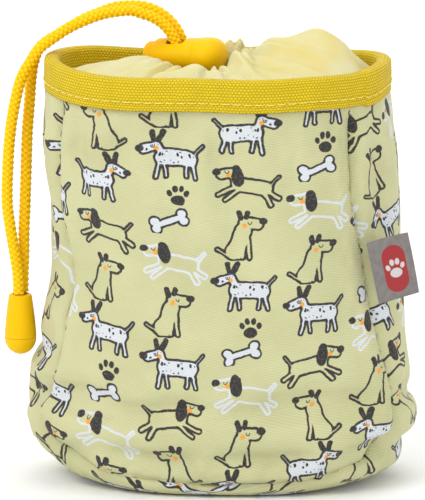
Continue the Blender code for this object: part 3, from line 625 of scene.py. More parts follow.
def make_lining():
    """Thin coated cloth, a fine plain weave with soft creases."""
    make = Shader("coated_lining", roughness=0.5, sheen_weight=0.1)
    flat = make.cloth()
    x, y = make.split(flat)
    cells = make.weave(x, y, 0.7, 0.7)
    cloud = make.ramp(make.noise(flat, 0.08, 3.0), 0.3, 0.7)
    tone = make.blend(cloud, (0.66, 0.64, 0.36), (0.76, 0.74, 0.46))
    crease = make.bump(make.noise(flat, 0.12, 3.0), 0.5, 1.5 * MM)
    roughness = make.ramp(cells, 0, 1, 0.6, 0.45)
    # painted shade: a darker colour in the gaps between the threads
    colour = make.blend(cells, (0.55, 0.53, 0.28), tone)
    return make.finish(colour, roughness, make.bump(cells, 0.3, 0.08 * MM, crease))


def make_webbing():
    """Plain-weave webbing: bright thread crowns over gaps darkened with painted shade."""
    light, dark = (0.77, 0.57, 0.005), (0.42, 0.29, 0.002)
    make = Shader("rim_webbing", roughness=0.7, sheen_weight=0.05, sheen_roughness=0.4)
    make.set(make.surface, {"Specular IOR Level": 0.3})
    flat = make.cloth()
    sway = make.add("TexNoise", {"Vector": flat, "Scale": 0.3, "Detail": 1.0}, 1)
    bent = make.vector("ADD", flat, make.scale(make.vector("SUBTRACT", sway, (0.5, 0.5, 0.5)), 0.5))
    x, y = make.split(bent)
    cells = make.weave(x, y, 0.98, 0.86)
    fibre = make.noise(make.vector("MULTIPLY", flat, (1.4, 9.0, 1)), 1.0, 3.0)
    tone = make.blend(make.ramp(make.noise(flat, 0.2, 3.0), 0.3, 0.7), light, tuple(0.86 * c for c in light))
    bright = tuple(min(1.25 * c + 0.03, 1) for c in light)
    tone = make.blend(make.ramp(fibre, 0.35, 0.75, 0, 0.35), tone, bright)
    # painted shade: the darker colour in the gaps between the threads stands in for the shade that falls
    # there
    colour = make.blend(make.ramp(cells, 0.03, 0.45), dark, tone)
    roughness = make.ramp(cells, 0, 1, 0.85, 0.6)
    return make.finish(colour, roughness, make.bump(cells, 0.8, 0.3 * MM))


def make_thread():
    """Twisted sewing thread."""
    make = Shader("thread", roughness=0.6, sheen_weight=0.2)
    at = make.place()
    twist = make.noise(at, 2600, 2.0)
    colour = make.blend(make.ramp(twist, 0.3, 0.7), (0.80, 0.62, 0.05), (0.88, 0.74, 0.17))
    return make.finish(colour, normal=make.bump(twist, 0.5, 0.08 * MM))


def make_sheer():
    """Thin polyester that lets light through, with random patches of deeper yellow painted as the shade in
    its doubled folds.
    """
    make = Shader("sheer_polyester", roughness=0.75, sheen_weight=0.1)
    flat = make.cloth()
    x, y = make.split(flat)
    cells = make.weave(x, y, 0.62, 0.62)
    # painted shade: random patches of deeper yellow for the shaded, doubled folds
    doubled = make.ramp(make.noise(make.place(), 42, 2.0, 0.4), 0.52, 0.64, 0.0, 0.7)
    tone = make.blend(doubled, (0.97, 0.92, 0.55), (1.0, 0.87, 0.30))
    tone = make.blend(make.ramp(make.noise(flat, 0.1, 2.0), 0.35, 0.7, 0.0, 0.6), tone, (0.98, 0.96, 0.66))
    # painted shade in the gaps between the threads
    colour = make.blend(make.ramp(cells, 0.0, 0.6), make.scale(tone, 0.88), tone)
    normal = make.bump(cells, 0.35, 0.08 * MM)
    make.finish(colour, normal=normal)
    glow = make.add("BsdfTranslucent", {"Color": colour, "Normal": normal})
    mixed = make.add("MixShader", {0: 0.45, 1: make.surface.outputs[0], 2: glow})
    make.set(make.output, {"Surface": mixed})
    return make.material


def make_braid():
    """Cord fibres, with painted shade where one plait dips under another."""
    make = Shader("braided_cord", roughness=0.6)
    make.set(make.surface, {"Specular IOR Level": 0.15})
    depth = make.add("Attribute", attribute_name="plait")
    depth = make.add("SeparateColor", {0: depth})
    fibre = make.noise(make.place(), 1700, 3.0)
    top = make.blend(make.ramp(fibre, 0.3, 0.7), (0.92, 0.52, 0.001), (0.97, 0.66, 0.004))
    # painted shade: a darker orange where a plait dips under another
    colour = make.blend(make.ramp(depth, 0.02, 0.6), (0.80, 0.31, 0.0), top)
    return make.finish(colour, make.ramp(depth, 0, 1, 0.75, 0.45), make.bump(fibre, 0.45, 0.12 * MM))


def make_plastic(name, light, dark, roughness, grain):
    """Moulded plastic: a fine grain, faint flow marks and paler convex edges."""
    make = Shader(name, coat_weight=0.03, coat_roughness=0.3)
    make.set(make.surface, {"Specular IOR Level": 0.12})
    at = make.place()
    cloud = make.noise(at, 60, 3.0)
    fine = make.noise(at, grain, 3.0)
    edges = make.ramp(make.add("NewGeometry", output=7), 0.52, 0.6, 0.0, 0.4)
    colour = make.blend(make.ramp(cloud, 0.3, 0.7), dark, light)
    colour = make.blend(edges, colour, tuple(min(1.15 * c + 0.02, 1) for c in light))
    rough = make.ramp(make.math("MULTIPLY_ADD", fine, 0.5, make.math("MULTIPLY", cloud, 0.5)), 0.3, 0.7,
                      roughness - 0.07, roughness + 0.09)
    waves = make.bump(cloud, 0.12, 0.4 * MM)
    return make.finish(colour, rough, make.bump(fine, 0.25, 0.05 * MM, waves))


def make_steel():
    """Plated steel wire and rivets: drawn lines, small dull spots."""
    make = Shader("clip_steel", metallic=1.0)
    at = make.place()
    lines = make.noise(make.vector("MULTIPLY", at, (300, 2600, 2600)), 1.0, 3.0)
    spots = make.ramp(make.noise(at, 500, 4.0), 0.55, 0.7)
    colour = make.blend(spots, (0.62, 0.62, 0.64), (0.42, 0.41, 0.40))
    rough = make.math("MULTIPLY_ADD", spots, 0.2, make.ramp(lines, 0.3, 0.7, 0.22, 0.38))
    return make.finish(colour, rough, make.bump(lines, 0.15, 0.03 * MM))


def make_label_cloth():
    """Grey woven satin with a red woven patch that bears a plain paw."""
    make = Shader("woven_label", roughness=0.6, sheen_weight=0.3)
    flat = make.cloth()
    x, y = make.split(flat)
    cells = make.weave(x, y, 0.42, 0.3)
    draw = Drawing(make, flat)
    patch = below(make, draw.stroke((7.2, -6.3), (7.2, -13.9), 3.7), 0)
    paw = below(make, draw.ovals((
        ((7.2, -11.4), (1.9, 1.5)), ((4.9, -9.4), (0.68, 0.95), 20), ((6.35, -8.0), (0.72, 1.02), 6),
        ((8.05, -8.0), (0.72, 1.02), -6), ((9.5, -9.4), (0.68, 0.95), -20),
    )), 0)
    cloud = make.ramp(make.noise(flat, 0.5, 3.0), 0.3, 0.7)
    grey = make.blend(cloud, (0.20, 0.18, 0.168), (0.27, 0.245, 0.23))
    colour = make.blend(patch, grey, (0.42, 0.012, 0.016))
    colour = make.blend(paw, colour, (0.72, 0.70, 0.68))
    # painted shade in the gaps between the threads
    colour = make.blend(make.ramp(cells, 0.0, 0.7, 0.0, 1.0), make.scale(colour, 0.62), colour)
    return make.finish(colour, make.ramp(cells, 0, 1, 0.75, 0.5), make.bump(cells, 0.6, 0.12 * MM))


def make_floor():
    """Pale board with faint clouds."""
    make = Shader("studio_floor", roughness=0.85)
    tone = make.ramp(make.noise(make.place(), 6, 3.0), 0.3, 0.7)
    return make.finish(make.blend(tone, (0.90, 0.90, 0.90), (0.93, 0.93, 0.93)))


# Stage


def make_camera():
    """The photo's view, from far away."""
    camera = bpy.data.objects.new("camera", bpy.data.cameras.new("camera"))
    bpy.context.scene.collection.objects.link(camera)
    a, e = math.radians(VIEW_AZIMUTH), math.radians(VIEW_ELEVATION)
    back = Vector((math.sin(a) * math.cos(e), -math.cos(a) * math.cos(e), math.sin(e)))
    camera.location = VIEW_TARGET + back * VIEW_DISTANCE
    camera.rotation_euler = back.to_track_quat("Z", "Y").to_euler()
    camera.data.sensor_fit = "HORIZONTAL"
    camera.data.lens = camera.data.sensor_width * VIEW_DISTANCE / VIEW_WIDTH
    camera.data.clip_start = 0.01
    bpy.context.scene.camera = camera


def area_light(name, place, size, power):
    """A soft light aimed at the pouch's middle."""
    light = bpy.data.lights.new(name, "AREA")
    light.size = size
    light.energy = power
    obj = bpy.data.objects.new(name, light)
    obj.location = place
    obj.rotation_euler = (Vector(place) - LIGHT_TARGET).to_track_quat("Z", "Y").to_euler()
    bpy.context.scene.collection.objects.link(obj)


def make_stage():
    """A pale floor just under the pouch, four soft lights and a white surround."""
    half, level = 6, -0.4 * MM
    corners = [(-half, -half, level), (half, -half, level), (half, half, level), (-half, half, level)]
    add_mesh("studio_floor", corners, [(0, 1, 2, 3)], finish=make_floor())
    area_light("key", (-0.45, -0.55, 0.62), 0.45, 3.0)
    area_light("fill", (0.7, -0.45, 0.3), 0.6, 0.9)
    area_light("top", (0.05, 0.15, 0.9), 0.6, 1.6)
    area_light("back", (0.1, 0.8, 0.4), 0.6, 1.2)
    world = bpy.data.worlds.new("studio")
    world.use_nodes = True
    world.node_tree.nodes["Background"].inputs[0].default_value = (1, 1, 1, 1)
    world.node_tree.nodes["Background"].inputs[1].default_value = 0.9
    bpy.context.scene.world = world
    bpy.context.scene.view_settings.view_transform = "Standard"


# Drawcord


def leg_route(start, end, shift):
    """A leg's points: out of the hem, round the arch through the lock, over the rim and down to the bell."""
    radius = ARCH_RADIUS + shift[0]
    angles = np.radians(np.linspace(ARCH_FROM, ARCH_TO, 9))
    arch = [ARCH_CENTRE + Vector((radius * math.cos(a), shift[1], radius * math.sin(a))) for a in angles]
    return [*(Vector(p) * MM for p in start), *arch, *(Vector(p) * MM for p in end)]


def plait_height(around, along):
    """How high a braid's strands stand, from 0 to 1. Two families of strands cross, and each cell of the
    weave shows the strand that lies on top there."""
    right, left = along + around, along - around
    over = (np.floor(right) + np.floor(left)) % 2 == 0
    across = np.where(over, right, left) % 1
    lengthwise = np.where(over, left, right) % 1
    crown = np.sin(math.pi * across) ** 0.7
    return crown * (0.35 + 0.65 * np.sin(math.pi * lengthwise) ** 0.6)


def braid(name, line, finish, start):
    """A braided cord along an evenly spaced line, with its plaits modelled from a start in their pattern."""
    around = np.linspace(0, 1, BRAID_AROUND, endpoint=False)[None]
    run = (lengths(line) + start)[:, None]
    height = plait_height(around * BRAID_PLAITS, run / BRAID_PITCH * 2)
    slack = 0.03 * MM * ripples(around, run, 3, 6, 1, 2)
    radii = CORD_RADIUS - BRAID_RELIEF * (1 - height) + 0.06 * MM + slack
    obj = add_mesh(name, *tube(line, radii, BRAID_AROUND, (0, 1, 0)), finish=finish)
    # the plaits' height, which the cord's material turns into painted shade and roughness
    shown = obj.data.color_attributes.new("plait", "FLOAT_COLOR", "POINT")
    shades = np.repeat(height.reshape(-1, 1), 4, axis=1)
    shown.data.foreach_set("color", shades.ravel())
    return obj


def make_cords(finish, bell, cap):
    """The drawcord's two free legs, and a better finish for its hidden loop and knot."""
    legs = (
        ("front", FRONT_LEG_START, FRONT_LEG_END, FRONT_LEG_SHIFT),
        ("rear", REAR_LEG_START, REAR_LEG_END, REAR_LEG_SHIFT),
    )
    for name, start, end, shift in legs:
        route = smooth_route(leg_route(start, end, shift), 200)
        length = lengths(route)[-1]
        line = evenly(route, int(length / BRAID_STEP))
        leg = braid(f"drawcord_leg_{name}", line, finish, 0.4 * shift[0])
        declare(leg, "pouch", "braided_cord", f"cord_leg_{name}")
    for node in ("drawcord_hem_loop", "cord_end_knot"):
        set_finish(NODES[node], finish)


def set_finish(obj, finish):
    """Gives a CAD node's object a better material."""
    obj.data.materials.clear()
    obj.data.materials.append(finish)


# Pouch body, on a grid whose columns are places round the pouch and whose rows run up from the base's middle


def caster(node):
    """A search tree of a CAD node, whose mesh is in the row frame."""
    return BVHTree.FromObject(NODES[node], bpy.context.evaluated_depsgraph_get())


class Body:
    """The pouch's outer surface, read from the CAD lining, which has no seams, by casting rays at it."""

    def __init__(self, columns):
        lining = caster("lining")
        self.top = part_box("lining")[1][2] - 2.2 * MM
        self.heights = np.linspace(BASE_RADIUS + 3 * MM, self.top, 48)
        fine = np.linspace(0, 2 * math.pi, 361)[:-1]
        radii = np.array([[self.cast(lining, angle, z) for angle in fine] for z in self.heights])
        radii = smoothed(smoothed(radii, 16, 1, True), 3, 0)
        middle = radii[len(self.heights) // 2][:, None] * np.column_stack([np.cos(fine), np.sin(fine)])
        along = lengths(np.vstack([middle, middle[:1]]))
        self.share = np.linspace(0, 1, columns, endpoint=False)
        self.angles = np.interp(self.share * along[-1], along, np.append(fine, 2 * math.pi))
        wrapped = np.column_stack([radii, radii[:, :1]])
        self.radii = np.array([np.interp(self.angles, np.append(fine, 2 * math.pi), row) for row in wrapped])
        self.radii += PANEL_OFFSET
        self.marks = {
            name: float(np.interp(math.radians(turn), np.append(fine, 2 * math.pi), along) / along[-1])
            for name, turn in (("right", 0), ("back", 90), ("left", 180), ("front", 270))
        }

    @staticmethod
    def cast(tree, angle, z):
        out = Vector((math.cos(angle), math.sin(angle), 0))
        hit = tree.ray_cast(Vector((0, 0, z)) + out * 0.2, -out, 0.3)[0]
        return hit.xy.length

    def ring(self, z, inset=0.0):
        """A ring at a height, inset from the outer surface. Both may be one number or one for each column."""
        z = np.broadcast_to(z, self.angles.shape)
        inset = np.broadcast_to(inset, self.angles.shape)[:, None]
        radius = np.array([np.interp(z[k], self.heights, column) for k, column in enumerate(self.radii.T)])
        flat = radius[:, None] * np.column_stack([np.cos(self.angles), np.sin(self.angles)])
        along = unit(np.roll(flat, -1, axis=0) - np.roll(flat, 1, axis=0))
        flat = flat - inset * np.column_stack([along[:, 1], -along[:, 0]])
        return np.column_stack([flat, z])

    def grid(self, wall_rows):
        """Rings over the base, round its corner, which is rounder at the sides, and up the wall."""
        rings = []
        cosine = np.cos(self.angles)
        corner = BASE_RADIUS + np.where(cosine > 0, RIGHT_ROUNDING, LEFT_ROUNDING) * np.abs(cosine) ** 3
        edge = self.ring(0, corner)
        for share in (0.06, 0.3, 0.55, 0.78, 0.92):
            rings.append(edge * (share, share, 1))
        for angle in np.radians(np.linspace(0, 80, 9)):
            ring = self.ring(0, corner * (1 - math.sin(angle)))
            ring[:, 2] = corner * (1 - math.cos(angle))
            rings.append(ring)
        foot = corner * (1 - math.cos(math.radians(86)))
        rings += [self.ring(foot + (self.top - foot) * share) for share in np.linspace(0, 1, wall_rows)]
        return np.array(rings)


def rim_heights(body):
    """How high the CAD binding stands at each column."""
    tree = caster("rim_binding")
    heights = []
    for x, y in body.ring(body.top)[:, :2] * 0.985:
        hit = tree.ray_cast(Vector((x, y, 0.2)), Vector((0, 0, -1)), 0.2)[0]
        heights.append(hit.z if hit else np.nan)
    heights = np.array(heights)
    known = ~np.isnan(heights)
    places = np.arange(len(heights))
    return smoothed(np.interp(places, places[known], heights[known]), 12, 0, True)


def outward(grid):
    """The outward direction at each point of a closed grid of rings."""
    around = np.roll(grid, -1, axis=1) - np.roll(grid, 1, axis=1)
    up = np.gradient(grid, axis=0)
    return unit(np.cross(around, up))


def settled(body):
    """How far the cloth moves out of its cut shape as it settles, at SIM_ROWS heights and SIM_COLUMNS
    columns, less the broad swelling."""
    heights = np.linspace(4 * MM, body.top, SIM_ROWS)
    coarse = Body(SIM_COLUMNS)
    start = np.array([coarse.ring(z) for z in heights])
    share = coarse.share[None]
    rise = heights[:, None]
    seed = 0.5 * MM * ripples(share, rise, 11, 12, 3, 9)
    normals = outward(start)
    points = (start + normals * seed[:, :, None]).reshape(-1, 3)
    hold = np.zeros(start.shape[:2])
    hold[0] = hold[-1] = 1
    hold[-4:-1] = 0.6
    rest = drape(
        points, strips(SIM_ROWS, SIM_COLUMNS), hold.ravel(), frames=30, stretch=0.1, pressure=0.6,
        stiffness=15, bending=0.2, gravity=1.0,
    )
    moved = ((rest.reshape(start.shape) - start) * normals).sum(axis=2)
    moved -= 0.9 * smoothed(smoothed(moved, 20, 0), 20, 1, True)
    return heights, smoothed(smoothed(moved, 1, 0), 1, 1, True)


def sample(heights, values, z, share):
    """Coarse grid values at a fine grid's heights and places round."""
    columns = np.append(np.arange(values.shape[1]) / values.shape[1], 1)
    wide = np.array([np.interp(share, columns, np.append(row, row[0])) for row in values])
    out = np.empty((len(z), wide.shape[1]))
    for k in range(wide.shape[1]):
        out[:, k] = np.interp(z[:, k], heights, wide[:, k])
    return out


def seam_distance(points, near_node, other_nodes):
    """How far each point lies inside a CAD panel's outline, and negative outside it."""
    near_tree = caster(near_node)
    others = [caster(node) for node in other_nodes]
    found = np.empty(len(points))
    for k, point in enumerate(points):
        mine = near_tree.find_nearest(point)[3]
        theirs = min(tree.find_nearest(point)[3] for tree in others)
        found[k] = theirs - mine
    return found


def split_at_zero(shape, layer):
    """Cuts a mesh along the line where a vertex value passes through zero."""
    for edge in list(shape.edges):
        a, b = edge.verts
        if a[layer] * b[layer] < 0:
            share = a[layer] / (a[layer] - b[layer])
            if share < 0.06:
                a[layer] = 0
            elif share > 0.94:
                b[layer] = 0
    crossing = [e for e in shape.edges if e.verts[0][layer] * e.verts[1][layer] < 0]
    for edge in crossing:
        a, b = edge.verts
        made = bmesh.utils.edge_split(edge, a, a[layer] / (a[layer] - b[layer]))[1]
        made[layer] = 0
    for face in list(shape.faces):
        signs = {v[layer] > 0 for v in face.verts if v[layer] != 0}
        if len(signs) < 2:
            continue
        corners = [v for v in face.verts if v[layer] == 0]
        if len(corners) == 2:
            bmesh.utils.face_split(face, *corners)


def find_seams(grid):
    """How far each point of the grid lies inside the front and the back panel."""
    seams = {}
    for side, other in (("front", "back"), ("back", "front")):
        found = seam_distance(grid.reshape(-1, 3), f"{side}_panel", ("gusset_strip", f"{other}_panel"))
        found = smoothed(smoothed(found.reshape(grid.shape[:2]), 4, 0), 4, 1, True)
        found[grid[:, :, 2] < 2.5 * MM] = -20 * MM  # the base is the gusset's
        seams[side] = found
    return seams


def relief(body, grid, rim, seams):
    """How far the cloth stands out of the grid: its wrinkles, puckers, dents and seams."""
    height = grid[:, :, 2]
    sim_heights, moved = settled(body)
    moved = sample(sim_heights, moved, height, body.share)
    moved = WRINKLE_LIMIT * np.tanh(1.6 * moved / WRINKLE_LIMIT)
    under_rim = np.clip((rim[None] - 9 * MM - height) / (14 * MM), 0, 1)
    fade = under_rim * np.clip((height - 2 * MM) / (12 * MM), 0, 1)
    offset = moved * fade
    puckers = ripples(body.share[None], height, 41, 16, 12, 40) * np.exp((height - rim[None]) / (16 * MM))
    offset += 0.4 * MM * puckers * under_rim**0.3
    for turn, up, wide, tall, depth in DENTS:
        away = (np.degrees(body.angles) - turn + 180) % 360 - 180
        offset -= depth * MM * hill(away[None], 0, wide) * hill(height, up * MM, tall * MM)
    beside = np.maximum(np.abs(grid[:, :, 0]) - 17 * MM, 0)
    beside += np.maximum(np.abs(height - 102 * MM) - 24 * MM, 0)
    offset *= np.where(grid[:, :, 1] > 0, np.clip(beside / (8 * MM), 0, 1), 1)  # flat behind the belt clip
    crease = np.zeros_like(offset)
    for found in seams.values():
        along = ripples(body.share[None], height, 23, 14, 20, 60)
        depth = SEAM_DEPTH * (1 + 0.14 * along)
        crease -= depth * np.exp(-np.abs(found) / SEAM_WIDTH)
        crease += 0.6 * MM * hill(np.abs(found), 5.0 * MM, 3.0 * MM) * (1 + 0.35 * along)
    return offset + crease * np.clip((rim[None] - 7 * MM - height) / (8 * MM), 0, 1)


def make_body(print_cloth, lining_cloth):
    """The three printed panels, cut from one settled surface along their seams, and the lining."""
    body = Body(BODY_COLUMNS)
    rim = rim_heights(body)
    grid = body.grid(round((body.top - BASE_RADIUS) / WALL_STEP))
    height = grid[:, :, 2]
    seams = find_seams(grid)
    outer = grid + outward(grid) * relief(body, grid, rim, seams)[:, :, None]
    girth = np.linalg.norm(np.roll(grid, -1, axis=1) - grid, axis=2).sum(axis=1)
    run = lengths(grid[:, 0])
    lift = rim[None] - (body.top + 2.5 * MM)
    outer[:, :, 2] += lift * np.clip((height - 90 * MM) / (body.top - 90 * MM), 0, 1) ** 2
    sideways = np.clip((np.abs(grid[:, :, 0]) - 20 * MM) / (30 * MM), 0, 1) ** 1.5
    outer[:, :, 2] += CORNER_LIFT * sideways * np.clip(1 - height / (30 * MM), 0, 1)
    outer[:, :, 2] = np.maximum(outer[:, :, 2], 0)
    for name, mesh in panel_meshes(outer, seams, body, girth, run).items():
        obj = bpy.data.objects.new(f"{name}_fabric", mesh)
        bpy.context.scene.collection.objects.link(obj)
        mesh.materials.append(print_cloth)
        thicken(obj, PANEL_THICKNESS)
        obj.data.shade_smooth()
        declare(obj, "pouch", "printed_polyester", name)
    inner = outer - outward(outer) * (PANEL_THICKNESS + LINING_THICKNESS)
    uv = on_cloth(body.share[None] * girth[:, None], run[:, None])
    keep = slice(0, len(inner) - 3)  # it ends below the rim, inside the binding
    lining = sleeve("lining_bag", inner[keep][:, ::2], uv[keep][:, ::2], girth[keep], lining_cloth)
    edit(lining, close_bottom)
    thicken(lining, LINING_THICKNESS)
    declare(lining, "pouch", "coated_lining", "lining")
    return body, rim


def close_bottom(shape):
    """Fills the hole in the middle of the base."""
    edges = [e for e in shape.edges if e.is_boundary and max(v.co.z for v in e.verts) < 3 * MM]
    bmesh.ops.contextual_create(shape, geom=edges)


def side_of(face, marks):
    """The side whose panel a face lies in, or None in the gusset."""
    for side in ("front", "back"):
        if sum(vert[marks[side]] for vert in face.verts) > 0:
            return side
    return None


def panel_meshes(grid, seams, body, girth, run):
    """A mesh for each panel, cut from the grid at the seams, with each point's place on its own cloth."""
    rows, columns = grid.shape[:2]
    shape = bmesh.new()
    values = {**seams, "share": body.share[None], "girth": girth[:, None], "run": run[:, None]}
    layers = {name: shape.verts.layers.float.new(name) for name in values}
    verts = [shape.verts.new(point) for point in grid.reshape(-1, 3)]
    for name, layer in layers.items():
        for vert, value in zip(verts, np.broadcast_to(values[name], (rows, columns)).ravel(), strict=True):
            vert[layer] = float(value)
    for face in strips(rows, columns):
        shape.faces.new([verts[k] for k in face])
    shape.faces.new([verts[k] for k in range(columns)][::-1])
    for side in ("front", "back"):
        split_at_zero(shape, layers[side])
    found = {}
    for name, side in (("front_panel", "front"), ("back_panel", "back"), ("gusset_strip", None)):
        part = shape.copy()
        marks = {key: part.verts.layers.float[key] for key in layers}
        drop = [face for face in part.faces if side_of(face, marks) != side]
        bmesh.ops.delete(part, geom=drop, context="FACES")
        lay_flat(part, marks, side, body)
        mesh = bpy.data.meshes.new(name)
        part.to_mesh(mesh)
        part.free()
        found[name] = mesh
    shape.free()
    return found


CUTS = {  # each panel's turn in the cloth, in degrees, and its place in it
    "front": (0, (0.0, 0.0)), "back": (0, (0.031, 0.012)), "right": (-24, (0.012, 0.004)),
    "left": (14, (0.047, 0.021)), "base": (0, (0.01, 0.03)),
}


def lay_flat(part, marks, side, body):
    """Gives each corner its place on the cloth, in metres, measured from the panel's own middle."""
    layer = part.loops.layers.uv.new(FABRIC)
    for face in part.faces:
        middle = face.calc_center_median()
        end = "right" if middle.x > 0 else "left"
        which = side or ("base" if middle.z < 1 * MM else end)
        turn, (over, up) = CUTS[which]
        cosine, sine = math.cos(math.radians(turn)), math.sin(math.radians(turn))
        for loop in face.loops:
            vert = loop.vert
            if which == "base":
                x, y = vert.co.x, vert.co.y
            else:
                around = (vert[marks["share"]] - body.marks[which] + 0.5) % 1 - 0.5
                x, y = around * vert[marks["girth"]], vert[marks["run"]]
            loop[layer].uv = (x * cosine - y * sine + over, x * sine + y * cosine + up)


# Rim


def swept(body, section):
    """A closed section swept round the rim, a little unevenly, with a thicker stretch where the webbing's
    ends lap. It is drawn as (offset out of the panel, height)."""
    rings, uv = [], []
    base = body.ring(body.top)
    across = lengths(np.array([*section, section[0]]))
    normals = unit(np.roll(base, -1, axis=0) - np.roll(base, 1, axis=0))
    normals = np.column_stack([normals[:, 1], -normals[:, 0], np.zeros(len(base))])
    girth = np.linalg.norm(np.roll(base, -1, axis=0) - base, axis=1).sum()
    uneven = ripples(body.share, np.zeros(len(base)), 31, 8, 2, 9)
    lap = np.clip((body.share - LAP_START) / 0.003, 0, 1) * np.clip((LAP_END - body.share) / 0.03, 0, 1)
    for (offset, height), over in zip([*section, section[0]], across, strict=True):
        outer = lap * (offset > 0.2 * MM)
        ring = base + normals * (offset + RIM_WOBBLE * uneven[:, None] + 0.5 * MM * outer[:, None])
        ring[:, 2] = height + RIM_WOBBLE * np.roll(uneven, 40) + 0.09 * outer * (height + 2 * MM)
        rings.append(ring)
        uv.append(on_cloth(body.share * girth, over))
    return np.array(rings), np.array(uv), girth


def make_rim(body, rim, webbing, thread):
    """The webbing folded over the rim, in a rounded section, and its row of stitches."""
    low, high = 0.35 * MM, 1.3 * MM  # the outer layer's faces
    inner, inner_face = -3.3 * MM, -2.4 * MM
    crown = 1.5 * MM
    section = [
        (high, -BINDING_HEIGHT), (high, -7.8 * MM), (high - 0.18 * MM, -STITCH_DROP), (high, -7.3 * MM),
        (high + 0.12 * MM, -5 * MM), (high, -crown),
        *arc(((high + inner) / 2, -crown), ((high - inner) / 2, crown), 18, 162, 9),
        (inner, -crown), (inner, -5 * MM), (inner, -8 * MM), (inner_face, -8 * MM), (inner_face, -3 * MM),
        (low, -3 * MM), (low, -BINDING_HEIGHT),
    ]
    fine = [section[0]]
    for a, b in zip(section, [*section[1:], section[0]], strict=True):
        steps = max(1, round(math.dist(a, b) / (0.9 * MM)))
        fine += [tuple(np.array(a) + (np.array(b) - np.array(a)) * k / steps) for k in range(1, steps + 1)]
    rings, uv, girth = swept(body, fine[:-1])
    rings[:, :, 2] += rim[None]
    binding = sleeve("rim_binding_webbing", rings, uv, girth, webbing)
    declare(binding, "pouch", "rim_webbing", "rim_binding")
    stitches = []
    line = evenly(np.vstack([rings[4], rings[4, :1]]), 1400)  # the groove that the stitches lie in
    marks = np.linspace(0, lengths(line)[-1], len(line))
    out = unit(line[:, :2])
    rise = 0.34 * MM * np.sin(np.linspace(0, math.pi, 9)) ** 0.5 - 0.06 * MM
    radii = THREAD_RADIUS * np.sin(np.linspace(0.22, math.pi - 0.22, 9)) ** 0.3
    for k in range(round(marks[-1] / STITCH_PITCH)):
        places = k * STITCH_PITCH + np.linspace(0, STITCH_LENGTH, 9)
        points = between(places, marks, line)
        points[:, :2] += between(places, marks, out) * rise[:, None]
        points[:, 2] += 0.06 * MM * math.sin(7.0 * k)
        stitches.append(tube(points, radii, 8))
    declare(joined("rim_stitches", stitches, thread), "pouch", "thread", "rim_stitching")


# Collar

# Hills of the puffed collar, in mm and degrees: x, y, half-widths along and across, turn, rise
COLLAR_HILLS = (
    (30, 2, 13, 15, -6, 12.0),
    (17, 1, 13, 12, 10, 9.4),
    (8, -5, 6, 10, 10, 9.8),
    (5, 13, 9, 6, 0, 9.6),
    (20, 17, 11, 5, -8, 6.5),
    (-4, -24, 13, 5, 2, 6.6),
    (1, -21, 2.2, 3.5, 20, 5.6),
    (5, -22, 2.5, 3.5, 30, 5.0),
    (-22, -9, 14, 9, -3, 5.6),
    (-14, 20, 9, 4, 0, 3),
    (40, -10, 8, 8, 30, 4.0),
)
COLLAR_BASE = 124.6 * MM
PUFF_LIMIT = 2.6 * MM  # of the collar's move as it settles
BED_HEIGHT, BED_RADIUS, BED_SLOPE = 123.4 * MM, 7.4 * MM, 2.4  # of the dip that the lock lies in
COLLAR_PLEATS = 26
NECK_RADIUS = 9.5 * MM


def collar_height(x, y):
    """The hills joined smoothly, with a crease between two that meet."""
    rise = np.zeros_like(x)
    for east, north, long, wide, turn, height in COLLAR_HILLS:
        dx, dy = x / MM - east, y / MM - north
        c, s = math.cos(math.radians(turn)), math.sin(math.radians(turn))
        away = ((dx * c + dy * s) / long) ** 2 + ((dy * c - dx * s) / wide) ** 2
        rise += (height * np.exp(-(away**0.9))) ** 3.5
    return rise ** (1 / 3.5) * MM


def lock_bed(points):
    """The most height that the collar has at each point, so that it dips under the lock that lies on it."""
    low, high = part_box("lock_barrel")
    middle = (np.array(low) + np.array(high)) / 2
    yaw = math.radians(LOCK_YAW)
    axis = np.array((math.cos(yaw), math.sin(yaw)))
    from_lock = points[..., :2] - middle[:2]
    along = from_lock @ axis
    beside = from_lock @ np.array((-axis[1], axis[0]))
    beyond = 1.35 * (along - np.clip(along, -10 * MM, 9 * MM))
    away = np.hypot(beyond, beside)
    return BED_HEIGHT + BED_SLOPE * np.maximum(away - BED_RADIUS, 0)


